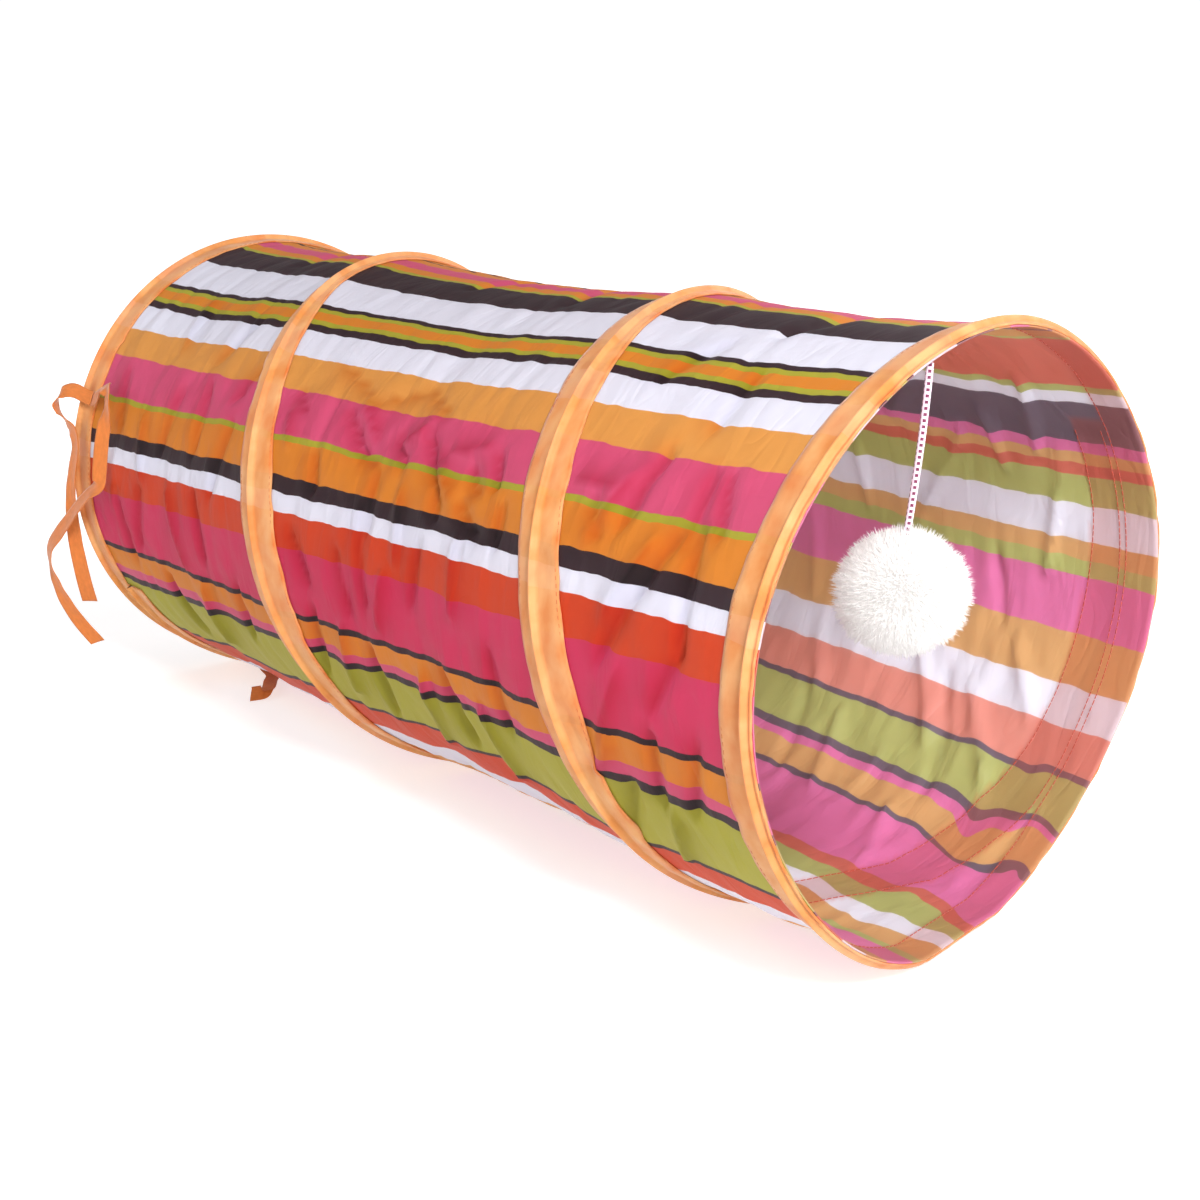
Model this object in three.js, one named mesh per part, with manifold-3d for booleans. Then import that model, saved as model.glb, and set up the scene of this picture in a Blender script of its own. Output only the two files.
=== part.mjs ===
// A cat tunnel: a sheer striped cloth tube held open by a spiral of spring wire.
// The wire runs in sewn casing tapes: a ring at each end and one open spiral between them.
// Ribbon ties hang from the rear ring, and a pompom hangs on a braided cord in the mouth.
// Millimetres, +Z up. The tube runs along X with its mouth at +X, and it lies on z = 0.
import * as THREE from 'three';
import { mergeVertices } from 'three/addons/utils/BufferGeometryUtils.js';
import Module from 'manifold-3d';

// Tube. The mouth leans, so its nominal plane lies a little short of half the length, which
// puts the middle of the whole tube at x = 0.
const LENGTH = 520;
const MOUTH_X = LENGTH / 2 - 1.9;
const RADIUS = 122.5;
const CLOTH_THICKNESS = 1.2;
const STEPS_AROUND = 48;
const STEPS_ALONG = 26;
const STEP_DEG = 360 / STEPS_AROUND;

// Casing tapes and the wire in them
const LAYER_GAP = 0.45;
const TAPE_THICKNESS = 1.0;
const WIRE_DIAMETER = 1.8;
const WIRE_SIDES = 6;
const CHANNEL_TOP = 1.3;
const CHANNEL_FOOT = 1.9;
const CHANNEL_SKIN = 1.0;
const RING_TAPE_WIDTH = 16;
const RING_WIRE_INSET = 3;
const TAPE_EDGE_GAP = 0.5;
const CHANNEL_ROOM = 3.5;
const SPIRAL_FIRST_STEP = -32;
const SPIRAL_LAST_STEP = 89;

// Heights of the layers over the middle of the cloth
const TAPE_UNDERSIDE = CLOTH_THICKNESS / 2 + LAYER_GAP;
const TAPE_TOP = TAPE_UNDERSIDE + TAPE_THICKNESS;
const CHANNEL_UNDERSIDE = TAPE_UNDERSIDE + WIRE_DIAMETER + LAYER_GAP;
const STACK_HEIGHT = CHANNEL_UNDERSIDE + TAPE_THICKNESS;

// The tube's axis stands so far over the floor that the tapes have flats 10 degrees to each side
const FLAT_HALF_ANGLE = 10;
const AXIS_HEIGHT = (RADIUS + STACK_HEIGHT) * Math.cos(THREE.MathUtils.degToRad(FLAT_HALF_ANGLE));

// Each end ring leans and bends a little: waves per turn, and the cosine and sine parts of
// the shift along X and of the change of radius
const MOUTH_BEND = [
  { waves: 1, xCos: 2.0, xSin: 3.6, rCos: 0, rSin: 0 },
  { waves: 2, xCos: 0.4, xSin: -2.0, rCos: 0.7, rSin: 1.5 },
  { waves: 3, xCos: 0.5, xSin: 3.0, rCos: -0.4, rSin: -0.5 },
];
const REAR_BEND = [
  { waves: 1, xCos: 0, xSin: -1.1, rCos: 0, rSin: 0 },
  { waves: 2, xCos: 0.6, xSin: -0.4, rCos: -0.3, rSin: 1.1 },
  { waves: 3, xCos: -0.7, xSin: -0.2, rCos: 0.3, rSin: 0 },
];
const BEND_REACH = 200;

// The spiral: the angle round the tube, from the top over the near side, the wire's distance
// back from the mouth, and how far the tape reaches in front of the wire and behind it. The
// tape is gathered to a narrower strip where it passes over the top and under the near side.
const SPIRAL = [
  { angle: -248, back: 512, front: 14, rear: 9 },
  { angle: -200, back: 492, front: 14, rear: 10 },
  { angle: -140, back: 455, front: 14, rear: 11 },
  { angle: -80, back: 413, front: 13, rear: 11 },
  { angle: -45, back: 401, front: 9, rear: 9 },
  { angle: -9, back: 387, front: 6, rear: 6 },
  { angle: 20, back: 372, front: 5.5, rear: 5.5 },
  { angle: 40, back: 356.5, front: 9, rear: 10 },
  { angle: 55, back: 345, front: 10.5, rear: 12 },
  { angle: 70, back: 335.5, front: 14, rear: 12 },
  { angle: 85, back: 327, front: 16, rear: 12.5 },
  { angle: 100, back: 319, front: 16.5, rear: 12.5 },
  { angle: 120, back: 309, front: 14.5, rear: 12 },
  { angle: 150, back: 297, front: 11, rear: 11 },
  { angle: 210, back: 262, front: 14, rear: 11 },
  { angle: 270, back: 222, front: 16, rear: 12 },
  { angle: 330, back: 173, front: 9, rear: 11 },
  { angle: 351, back: 161, front: 6, rear: 9 },
  { angle: 380, back: 146.5, front: 6, rear: 13 },
  { angle: 400, back: 137, front: 9, rear: 13.5 },
  { angle: 420, back: 127, front: 11.5, rear: 13 },
  { angle: 440, back: 117, front: 15, rear: 11 },
  { angle: 460, back: 106, front: 15, rear: 12 },
  { angle: 480, back: 96, front: 11.5, rear: 12 },
  { angle: 510, back: 86, front: 11, rear: 11 },
  { angle: 552, back: 57, front: 14, rear: 11 },
  { angle: 600, back: 30, front: 14, rear: 11 },
  { angle: 720, back: 10, front: 14, rear: 11 },
];

// Between two wires the cloth draws in by a share of their distance: by the least share near
// the ends and by more round the middle bay, and by less low down than at the top. Wires that
// are closer than a full bay draw it in by less still.
const DRAW_IN_ENDS = 0.009;
const DRAW_IN_MIDDLE = 0.013;
const DRAW_IN_MIDDLE_BACK = 240;
const DRAW_IN_MIDDLE_REACH = 110;
const DRAW_IN_BELOW = 0.2;
const FULL_BAY = 150;

// Between its two end rings the tube sags by this much, towards this angle
const SAG = 1.6;
const SAG_ANGLE = 165;
const SAG_REACH = 60;

// Main folds of the cloth: where the middle lies, half the length along the fold, half its
// width, its depth, and how far the fold is turned from running round the tube
const FOLDS = [
  { angle: 60, back: 250, reach: 34, width: 15, depth: 1.8, turn: 25 },
  { angle: 84, back: 215, reach: 40, width: 15, depth: 2.0, turn: -20 },
  { angle: 132, back: 225, reach: 38, width: 16, depth: 2.4, turn: 8 },
  { angle: 128, back: 170, reach: 32, width: 14, depth: 2.0, turn: -6 },
  { angle: 30, back: 230, reach: 36, width: 16, depth: 1.5, turn: 15 },
  { angle: 96, back: 430, reach: 42, width: 17, depth: 2.0, turn: 12 },
  { angle: 138, back: 425, reach: 34, width: 15, depth: 2.2, turn: -10 },
  { angle: 118, back: 385, reach: 30, width: 14, depth: 1.6, turn: 18 },
  { angle: 48, back: 440, reach: 38, width: 16, depth: 1.4, turn: -12 },
  { angle: 126, back: 62, reach: 30, width: 14, depth: 1.6, turn: 10 },
  { angle: 252, back: 150, reach: 44, width: 17, depth: 2.2, turn: -15 },
  { angle: 285, back: 240, reach: 40, width: 17, depth: 2.0, turn: 20 },
  { angle: 232, back: 330, reach: 42, width: 18, depth: 2.2, turn: 5 },
  { angle: 305, back: 400, reach: 40, width: 17, depth: 1.8, turn: -18 },
];

// Ribbon ties: the middle line's points, and the way the ribbon's face looks there, as an
// azimuth and an elevation in degrees
const RIBBON_WIDTH = 8;
const RIBBON_THICKNESS = 1.0;
const RIBBON_STEPS_PER_POINT = 2;
const TIE_LOOP = [
  { x: -249.4, y: -117.4, z: 170.0, azimuth: -90, elevation: 21 },
  { x: -253.2, y: -118.9, z: 170.9, azimuth: -89, elevation: 22 },
  { x: -260.5, y: -122.0, z: 173.4, azimuth: -75, elevation: 22 },
  { x: -266.2, y: -125.2, z: 172.6, azimuth: -70, elevation: 35 },
  { x: -269.6, y: -127.6, z: 169.5, azimuth: -120, elevation: 35 },
  { x: -270.4, y: -129.0, z: 164.6, azimuth: -140, elevation: 0 },
  { x: -267.5, y: -128.3, z: 159.9, azimuth: -120, elevation: -40 },
  { x: -261.5, y: -127.6, z: 156.2, azimuth: -95, elevation: -20 },
  { x: -254.5, y: -127.4, z: 151.5, azimuth: -90, elevation: 12 },
  { x: -251.9, y: -128.0, z: 144.1, azimuth: -90, elevation: 9 },
  { x: -256.4, y: -129.0, z: 130.2, azimuth: -85, elevation: 2 },
  { x: -260.5, y: -129.3, z: 116.6, azimuth: -75, elevation: 0 },
  { x: -261.4, y: -129.3, z: 103.4, azimuth: -60, elevation: 0 },
  { x: -262.9, y: -128.2, z: 89.1, azimuth: -45, elevation: 0 },
  { x: -263.2, y: -126.8, z: 77.2, azimuth: -38, elevation: 0 },
  { x: -266.0, y: -123.8, z: 63.8, azimuth: -32, elevation: 0 },
  { x: -270.1, y: -119.8, z: 50.9, azimuth: -30, elevation: 0 },
];
const TIE_LONG = [
  { x: -248.0, y: -117.4, z: 170.0, azimuth: -90, elevation: 21 },
  { x: -243.5, y: -118.1, z: 170.4, azimuth: -90, elevation: 22 },
  { x: -228.0, y: -119.0, z: 178.5, azimuth: -95, elevation: 55 },
  { x: -222.9, y: -120.4, z: 177.1, azimuth: -100, elevation: 20 },
  { x: -221.8, y: -121.4, z: 171.5, azimuth: -100, elevation: 5 },
  { x: -220.9, y: -123.0, z: 164.8, azimuth: -85, elevation: -10 },
  { x: -221.9, y: -124.6, z: 157.4, azimuth: -55, elevation: 5 },
  { x: -223.3, y: -126.4, z: 146.1, azimuth: -48, elevation: 4 },
  { x: -225.3, y: -127.4, z: 133.9, azimuth: -48, elevation: 0 },
  { x: -225.2, y: -128.6, z: 127.5, azimuth: -60, elevation: 20 },
  { x: -234.2, y: -131.0, z: 121.4, azimuth: -70, elevation: 42 },
  { x: -243.1, y: -133.4, z: 113.5, azimuth: -60, elevation: 40 },
  { x: -252.4, y: -135.2, z: 104.8, azimuth: -58, elevation: 32 },
  { x: -262.5, y: -137.4, z: 95.3, azimuth: -60, elevation: 25 },
  { x: -272.2, y: -139.4, z: 85.1, azimuth: -95, elevation: 10 },
  { x: -274.5, y: -139.0, z: 75.9, azimuth: -105, elevation: -10 },
  { x: -274.1, y: -136.5, z: 63.8, azimuth: -75, elevation: -18 },
  { x: -274.1, y: -131.8, z: 51.1, azimuth: -55, elevation: -12 },
  { x: -273.2, y: -125.0, z: 38.0, azimuth: -45, elevation: -4 },
  { x: -269.7, y: -117.4, z: 25.8, azimuth: -41, elevation: 0 },
];
const TIE_FLOOR = [
  { x: -242.4, y: -27.0, z: 1.2, azimuth: 0, elevation: 90 },
  { x: -230.0, y: -31.5, z: 0.8, azimuth: 0, elevation: 90 },
  { x: -216.0, y: -35.5, z: 0.9, azimuth: 0, elevation: 90 },
  { x: -205.7, y: -42.9, z: 1.8, azimuth: -41, elevation: 75 },
  { x: -191.9, y: -52.2, z: 3.6, azimuth: -41, elevation: 40 },
  { x: -184.4, y: -60.0, z: 4.7, azimuth: -50, elevation: 15 },
  { x: -185.1, y: -67.2, z: 5.0, azimuth: -55, elevation: 10 },
];

// Pompom and its cord
const CORD_DIAMETER = 2.8;
const CORD_SIDES = 8;
const CORD_STEPS = 10;
const CORD_ROUTE = [
  { x: 260.2, y: -41.7, z: 238.9 },
  { x: 260.0, y: -42.0, z: 230.0 },
  { x: 259.2, y: -43.2, z: 210.0 },
  { x: 257.9, y: -44.7, z: 190.0 },
  { x: 257.0, y: -45.6, z: 178.3 },
];
const POMPOM_CENTRE = { x: 256.4, y: -46.0, z: 158.4 };
const POMPOM_CORE_RADIUS = 20.8;
const POMPOM_REACH = 25.2;
const POMPOM_SQUASH = 0.94;
const LOCK_COUNT = 92;
const LOCK_FOOT_RADIUS = 4.8;
const LOCK_TIP_RADIUS = 1.7;
const LOCK_FOOT_DEPTH = 1.6;
const LOCK_SHORTEST_BY = 1.2;
const LOCK_LENGTHS = 5;
const CORD_CLEARING = 0.93;

// Colours
const COLOURS = {
  cloth: 0xcf4a70,
  tape: 0xe8984f,
  wire: 0x8a8c90,
  ribbon: 0xe6853f,
  cord: 0xece6ea,
  pompom: 0xf6f5f2,
};

const radians = THREE.MathUtils.degToRad;

const wasm = await Module();
wasm.setup();

// A column of the spiral's table at an angle, eased between its rows
function spiralValue(key, angle) {
  const rows = SPIRAL;
  let i = 0;
  while (i < rows.length - 2 && angle > rows[i + 1].angle) {
    i += 1;
  }
  const before = rows[Math.max(i - 1, 0)];
  const from = rows[i];
  const to = rows[i + 1];
  const after = rows[Math.min(i + 2, rows.length - 1)];
  const span = to.angle - from.angle;
  const t = (angle - from.angle) / span;
  const slopeFrom = (to[key] - before[key]) / (to.angle - before.angle) * span;
  const slopeTo = (after[key] - from[key]) / (after.angle - from.angle) * span;
  const t2 = t * t;
  const t3 = t2 * t;
  return (2 * t3 - 3 * t2 + 1) * from[key] + (t3 - 2 * t2 + t) * slopeFrom
    + (3 * t2 - 2 * t3) * to[key] + (t3 - t2) * slopeTo;
}

// The sum of a ring's waves at an angle
function wave(bend, cosKey, sinKey, angle) {
  let sum = 0;
  for (const row of bend) {
    const a = radians(row.waves * angle);
    sum += row[cosKey] * Math.cos(a) + row[sinKey] * Math.sin(a);
  }
  return sum;
}

// Where the two ends of the cloth lie, as distances back from the nominal mouth
function mouthEdge(angle) {
  return -wave(MOUTH_BEND, 'xCos', 'xSin', angle);
}

function rearEdge(angle) {
  return LENGTH - wave(REAR_BEND, 'xCos', 'xSin', angle);
}

function mouthTapeRear(angle) {
  return mouthEdge(angle) + RING_TAPE_WIDTH;
}

function rearTapeFront(angle) {
  return rearEdge(angle) - RING_TAPE_WIDTH;
}

// The spiral wire, kept clear of the two ring tapes where it runs in beside them
function spiralWire(angle) {
  const nearest = mouthTapeRear(angle) + TAPE_EDGE_GAP + CHANNEL_ROOM;
  const farthest = rearTapeFront(angle) - TAPE_EDGE_GAP - CHANNEL_ROOM;
  return Math.min(Math.max(spiralValue('back', angle), nearest), farthest);
}

// Every wire that crosses the line along the tube at an angle, from the mouth back
function wiresAt(angle) {
  const found = [mouthEdge(angle) + RING_WIRE_INSET];
  const turnStart = ((angle % 360) + 360) % 360;
  for (let a = turnStart + 360; a >= SPIRAL_FIRST_STEP * STEP_DEG; a -= 360) {
    if (a <= SPIRAL_LAST_STEP * STEP_DEG) {
      found.push(spiralWire(a));
    }
  }
  found.push(rearEdge(angle) - RING_WIRE_INSET);
  return found;
}

function fade(distance, reach) {
  const t = Math.min(Math.max(1 - distance / reach, 0), 1);
  return t * t * (3 - 2 * t);
}

// How deep the folds are at a place on the cloth
function foldDepth(back, angle) {
  let depth = 0;
  for (const fold of FOLDS) {
    const around = radians(((angle - fold.angle + 540) % 360) - 180) * RADIUS;
    const along = back - fold.back;
    const turn = radians(fold.turn);
    const p = (around * Math.cos(turn) + along * Math.sin(turn)) / fold.reach;
    const q = (along * Math.cos(turn) - around * Math.sin(turn)) / fold.width;
    depth += fold.depth * Math.exp(-p * p - q * q);
  }
  return depth;
}

// The share of a bay's length by which its cloth draws in
function drawInShare(middle, angle) {
  const away = (middle - DRAW_IN_MIDDLE_BACK) / DRAW_IN_MIDDLE_REACH;
  const share = DRAW_IN_ENDS + DRAW_IN_MIDDLE * Math.exp(-away * away);
  return share * (1 - DRAW_IN_BELOW + DRAW_IN_BELOW * Math.cos(radians(angle)));
}

function sag(back, angle) {
  const ends = (1 - fade(back, SAG_REACH)) * (1 - fade(LENGTH - back, SAG_REACH));
  return SAG * Math.cos(radians(angle - SAG_ANGLE)) * ends;
}

// Radius of the middle of the cloth
function clothRadius(back, angle) {
  const wires = wiresAt(angle);
  let draw = 0;
  let slack = 0;
  for (let i = 0; i + 1 < wires.length; i += 1) {
    const span = wires[i + 1] - wires[i];
    const t = (back - wires[i]) / span;
    if (t > 0 && t < 1) {
      slack = 4 * t * (1 - t);
      const share = drawInShare((wires[i] + wires[i + 1]) / 2, angle);
      draw = share * span * slack * Math.min(span / FULL_BAY, 1);
    }
  }
  const bent = wave(MOUTH_BEND, 'rCos', 'rSin', angle) * fade(back, BEND_REACH)
    + wave(REAR_BEND, 'rCos', 'rSin', angle) * fade(LENGTH - back, BEND_REACH);
  return RADIUS + bent + sag(back, angle) - draw - foldDepth(back, angle) * slack;
}

// A point at a height over the middle of the cloth. Under the tube every layer is lifted
// alike, so that the tapes lie flat on the floor.
function onTube(back, angle, height) {
  const a = radians(angle);
  const radius = clothRadius(back, angle);
  const down = -Math.cos(a);
  let lift = 0;
  if (down > 0) {
    lift = Math.max(0, radius + STACK_HEIGHT - AXIS_HEIGHT / down);
  }
  const r = radius + height - lift;
  return new THREE.Vector3(MOUTH_X - back, -r * Math.sin(a), AXIS_HEIGHT + r * Math.cos(a));
}

function meshFrom(name, positions, faces, colour, roughness, metalness) {
  const geometry = new THREE.BufferGeometry();
  geometry.setAttribute('position', new THREE.Float32BufferAttribute(positions, 3));
  geometry.setIndex(faces);
  geometry.computeVertexNormals();
  const material = new THREE.MeshStandardMaterial({ color: colour, roughness, metalness });
  const mesh = new THREE.Mesh(geometry, material);
  mesh.name = name;
  return mesh;
}

// A closed skin through rows of points that all have the same number of corners. The rows
// close on each other in a ring, or the first and the last get an end face.
function loft(name, rows, isRing, colour, roughness, metalness) {
  const corners = rows[0].length;
  const positions = [];
  for (const row of rows) {
    for (const point of row) {
      positions.push(point.x, point.y, point.z);
    }
  }
  const faces = [];
  const joins = isRing ? rows.length : rows.length - 1;
  for (let i = 0; i < joins; i += 1) {
    const here = i * corners;
    const next = ((i + 1) % rows.length) * corners;
    for (let j = 0; j < corners; j += 1) {
      const k = (j + 1) % corners;
      faces.push(here + j, next + k, next + j);
      faces.push(here + j, here + k, next + k);
    }
  }
  if (!isRing) {
    const last = (rows.length - 1) * corners;
    for (const [a, b, c] of endTriangles(rows[0])) {
      faces.push(a, c, b);
      faces.push(last + a, last + b, last + c);
    }
  }
  return meshFrom(name, positions, faces, colour, roughness, metalness);
}

// Triangles that fill a section, which is cut into strips between facing corners
function endTriangles(row) {
  const triangles = [];
  let low = 0;
  let high = row.length - 1;
  while (high - low > 1) {
    triangles.push([low, low + 1, high]);
    low += 1;
    if (high - low > 1) {
      triangles.push([low, high - 1, high]);
      high -= 1;
    }
  }
  return triangles;
}

// The cloth tube: one lengthwise section for each angle, out along the outside and back
// along the inside
function makeCloth() {
  const rows = [];
  for (let i = 0; i < STEPS_AROUND; i += 1) {
    const angle = i * STEP_DEG;
    const from = mouthEdge(angle);
    const to = rearEdge(angle);
    const outside = [];
    const inside = [];
    for (let j = 0; j <= STEPS_ALONG; j += 1) {
      const back = from + (to - from) * j / STEPS_ALONG;
      outside.push(onTube(back, angle, CLOTH_THICKNESS / 2));
      inside.push(onTube(back, angle, -CLOTH_THICKNESS / 2));
    }
    rows.push(outside.concat(inside.reverse()));
  }
  return loft('tunnel_cloth', rows, true, COLOURS.cloth, 0.7, 0);
}

// Section of a tape: a flat strip with a raised channel over its wire
function tapeSection(angle, wire, front, rear) {
  const skin = CHANNEL_SKIN;
  const outline = [
    [-front, TAPE_TOP],
    [-CHANNEL_FOOT - skin, TAPE_TOP],
    [-CHANNEL_TOP - skin / 2, STACK_HEIGHT],
    [CHANNEL_TOP + skin / 2, STACK_HEIGHT],
    [CHANNEL_FOOT + skin, TAPE_TOP],
    [rear, TAPE_TOP],
    [rear, TAPE_UNDERSIDE],
    [CHANNEL_FOOT, TAPE_UNDERSIDE],
    [CHANNEL_TOP, CHANNEL_UNDERSIDE],
    [-CHANNEL_TOP, CHANNEL_UNDERSIDE],
    [-CHANNEL_FOOT, TAPE_UNDERSIDE],
    [-front, TAPE_UNDERSIDE],
  ];
  return outline.map(([offset, height]) => onTube(wire + offset, angle, height));
}

// Section of a wire that lies on the cloth
function wireSection(angle, wire) {
  const corners = [];
  const centre = TAPE_UNDERSIDE + WIRE_DIAMETER / 2;
  for (let k = 0; k < WIRE_SIDES; k += 1) {
    const a = Math.PI / 2 + (2 * Math.PI * k) / WIRE_SIDES;
    const along = -Math.cos(a) * WIRE_DIAMETER / 2;
    const height = centre + Math.sin(a) * WIRE_DIAMETER / 2;
    corners.push(onTube(wire + along, angle, height));
  }
  return corners;
}

function ringAngles() {
  return Array.from({ length: STEPS_AROUND }, (_, i) => i * STEP_DEG);
}

function spiralAngles() {
  const count = SPIRAL_LAST_STEP - SPIRAL_FIRST_STEP + 1;
  return Array.from({ length: count }, (_, i) => (SPIRAL_FIRST_STEP + i) * STEP_DEG);
}

function makeMouthTape() {
  const rows = ringAngles().map((angle) => tapeSection(
    angle, mouthEdge(angle) + RING_WIRE_INSET, RING_WIRE_INSET, RING_TAPE_WIDTH - RING_WIRE_INSET));
  return loft('tape_mouth_ring', rows, true, COLOURS.tape, 0.75, 0);
}

function makeRearTape() {
  const rows = ringAngles().map((angle) => tapeSection(
    angle, rearEdge(angle) - RING_WIRE_INSET, RING_TAPE_WIDTH - RING_WIRE_INSET, RING_WIRE_INSET));
  return loft('tape_rear_ring', rows, true, COLOURS.tape, 0.75, 0);
}

function makeSpiralTape() {
  const rows = spiralAngles().map((angle) => {
    const wire = spiralWire(angle);
    const frontRoom = wire - mouthTapeRear(angle) - TAPE_EDGE_GAP;
    const rearRoom = rearTapeFront(angle) - TAPE_EDGE_GAP - wire;
    const front = Math.min(spiralValue('front', angle), frontRoom);
    const rear = Math.min(spiralValue('rear', angle), rearRoom);
    return tapeSection(angle, wire, front, rear);
  });
  return loft('tape_spiral', rows, false, COLOURS.tape, 0.75, 0);
}

function makeMouthWire() {
  const rows = ringAngles().map((angle) => wireSection(angle, mouthEdge(angle) + RING_WIRE_INSET));
  return loft('wire_mouth_ring', rows, true, COLOURS.wire, 0.35, 0.9);
}

function makeRearWire() {
  const rows = ringAngles().map((angle) => wireSection(angle, rearEdge(angle) - RING_WIRE_INSET));
  return loft('wire_rear_ring', rows, true, COLOURS.wire, 0.35, 0.9);
}

function makeSpiralWire() {
  const rows = spiralAngles().map((angle) => wireSection(angle, spiralWire(angle)));
  return loft('wire_spiral', rows, false, COLOURS.wire, 0.35, 0.9);
}

// The way a ribbon's face looks
function faceDirection(point) {
  const azimuth = radians(point.azimuth);
  const elevation = radians(point.elevation);
  return new THREE.Vector3(
    Math.cos(elevation) * Math.cos(azimuth),
    Math.cos(elevation) * Math.sin(azimuth),
    Math.sin(elevation));
}

// A flat ribbon along its points, turned so that its face looks the stated way
function makeRibbon(name, points) {
  const curve = new THREE.CatmullRomCurve3(
    points.map((p) => new THREE.Vector3(p.x, p.y, p.z)), false, 'centripetal');
  const steps = (points.length - 1) * RIBBON_STEPS_PER_POINT;
  const rows = [];
  for (let i = 0; i <= steps; i += 1) {
    const t = i / steps;
    const middle = curve.getPoint(t);
    const tangent = curve.getTangent(t);
    const place = t * (points.length - 1);
    const index = Math.min(Math.floor(place), points.length - 2);
    const face = faceDirection(points[index])
      .lerp(faceDirection(points[index + 1]), place - index);
    const across = new THREE.Vector3().crossVectors(face, tangent).normalize();
    const out = new THREE.Vector3().crossVectors(tangent, across).normalize();
    across.multiplyScalar(RIBBON_WIDTH / 2);
    out.multiplyScalar(RIBBON_THICKNESS / 2);
    rows.push([
      middle.clone().add(across).add(out),
      middle.clone().sub(across).add(out),
      middle.clone().sub(across).sub(out),
      middle.clone().add(across).sub(out),
    ]);
  }
  return loft(name, rows, false, COLOURS.ribbon, 0.6, 0);
}

function makeCord() {
  const curve = new THREE.CatmullRomCurve3(
    CORD_ROUTE.map((p) => new THREE.Vector3(p.x, p.y, p.z)), false, 'centripetal');
  const side = new THREE.Vector3(1, 0, 0);
  const rows = [];
  for (let i = 0; i <= CORD_STEPS; i += 1) {
    const middle = curve.getPoint(i / CORD_STEPS);
    const tangent = curve.getTangent(i / CORD_STEPS);
    const u = side.clone().addScaledVector(tangent, -side.dot(tangent)).normalize();
    const v = new THREE.Vector3().crossVectors(tangent, u);
    const row = [];
    for (let k = 0; k < CORD_SIDES; k += 1) {
      const a = (2 * Math.PI * k) / CORD_SIDES;
      row.push(middle.clone()
        .addScaledVector(u, Math.cos(a) * CORD_DIAMETER / 2)
        .addScaledVector(v, Math.sin(a) * CORD_DIAMETER / 2));
    }
    rows.push(row);
  }
  return loft('pompom_cord', rows, false, COLOURS.cord, 0.8, 0);
}

function toSolid(geometry) {
  const plain = geometry.clone();
  plain.deleteAttribute('normal');
  plain.deleteAttribute('uv');
  const merged = mergeVertices(plain, 1e-4);
  return new wasm.Manifold(new wasm.Mesh({
    numProp: 3,
    vertProperties: new Float32Array(merged.attributes.position.array),
    triVerts: new Uint32Array(merged.index.array),
  }));
}

// The pompom: a core with short locks of yarn all over it, rooted in the core. The place
// where the cord comes in stays clear.
function makePompom() {
  let solid = toSolid(new THREE.IcosahedronGeometry(POMPOM_CORE_RADIUS, 3));
  const golden = Math.PI * (3 - Math.sqrt(5));
  const up = new THREE.Vector3(0, 1, 0);
  for (let i = 0; i < LOCK_COUNT; i += 1) {
    const z = 1 - (2 * (i + 0.5)) / LOCK_COUNT;
    if (z > CORD_CLEARING) {
      continue;
    }
    const flat = Math.sqrt(1 - z * z);
    const way = new THREE.Vector3(flat * Math.cos(i * golden), flat * Math.sin(i * golden), z);
    const foot = POMPOM_CORE_RADIUS - LOCK_FOOT_DEPTH;
    const shorter = LOCK_SHORTEST_BY * ((i * 7) % LOCK_LENGTHS) / (LOCK_LENGTHS - 1);
    const height = POMPOM_REACH - foot - shorter;
    const lock = new THREE.CylinderGeometry(LOCK_TIP_RADIUS, LOCK_FOOT_RADIUS, height, 3, 1);
    lock.rotateY(i);
    lock.translate(0, foot + height / 2, 0);
    lock.applyQuaternion(new THREE.Quaternion().setFromUnitVectors(up, way));
    solid = solid.add(toSolid(lock));
  }
  const mesh = solid.getMesh();
  const positions = Array.from(mesh.vertProperties);
  const pompom = meshFrom(
    'pompom', positions, Array.from(mesh.triVerts), COLOURS.pompom, 0.95, 0);
  pompom.scale.set(1, 1, POMPOM_SQUASH);
  pompom.position.set(POMPOM_CENTRE.x, POMPOM_CENTRE.y, POMPOM_CENTRE.z);
  return pompom;
}

const tunnel = new THREE.Group();
tunnel.add(
  makeCloth(),
  makeMouthTape(),
  makeSpiralTape(),
  makeRearTape(),
  makeMouthWire(),
  makeSpiralWire(),
  makeRearWire(),
  makeRibbon('tie_loop_tail', TIE_LOOP),
  makeRibbon('tie_long_tail', TIE_LONG),
  makeRibbon('tie_floor_tail', TIE_FLOOR),
  makeCord(),
  makePompom(),
);

export default tunnel;
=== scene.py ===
"""Looks for the striped cat tunnel: cloth, casing tapes, stitches, ribbon ties, cord and pompom.

Shapes are worked out in millimetres, as the part's own sizes are, and scaled to metres when
a mesh is made. Angles run round the tube from the top (0) over the near side (90) and the
underside (180) to the far side (270). "Back" is the distance from the mouth's plane.
"""

import math

import bpy
import numpy as np
from mathutils import Matrix, Vector


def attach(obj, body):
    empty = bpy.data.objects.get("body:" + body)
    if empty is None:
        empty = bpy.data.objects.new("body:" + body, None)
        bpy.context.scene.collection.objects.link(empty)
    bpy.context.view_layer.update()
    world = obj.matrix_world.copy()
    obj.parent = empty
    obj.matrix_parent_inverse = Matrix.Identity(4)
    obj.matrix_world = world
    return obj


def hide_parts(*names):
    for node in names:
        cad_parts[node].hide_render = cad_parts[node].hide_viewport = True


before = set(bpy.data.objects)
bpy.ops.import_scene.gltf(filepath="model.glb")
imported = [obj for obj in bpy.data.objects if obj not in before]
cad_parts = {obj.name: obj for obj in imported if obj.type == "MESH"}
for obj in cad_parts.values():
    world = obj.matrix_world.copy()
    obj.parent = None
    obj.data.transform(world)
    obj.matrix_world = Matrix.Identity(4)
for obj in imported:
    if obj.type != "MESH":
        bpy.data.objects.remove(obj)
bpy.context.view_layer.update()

MM = 0.001

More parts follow.
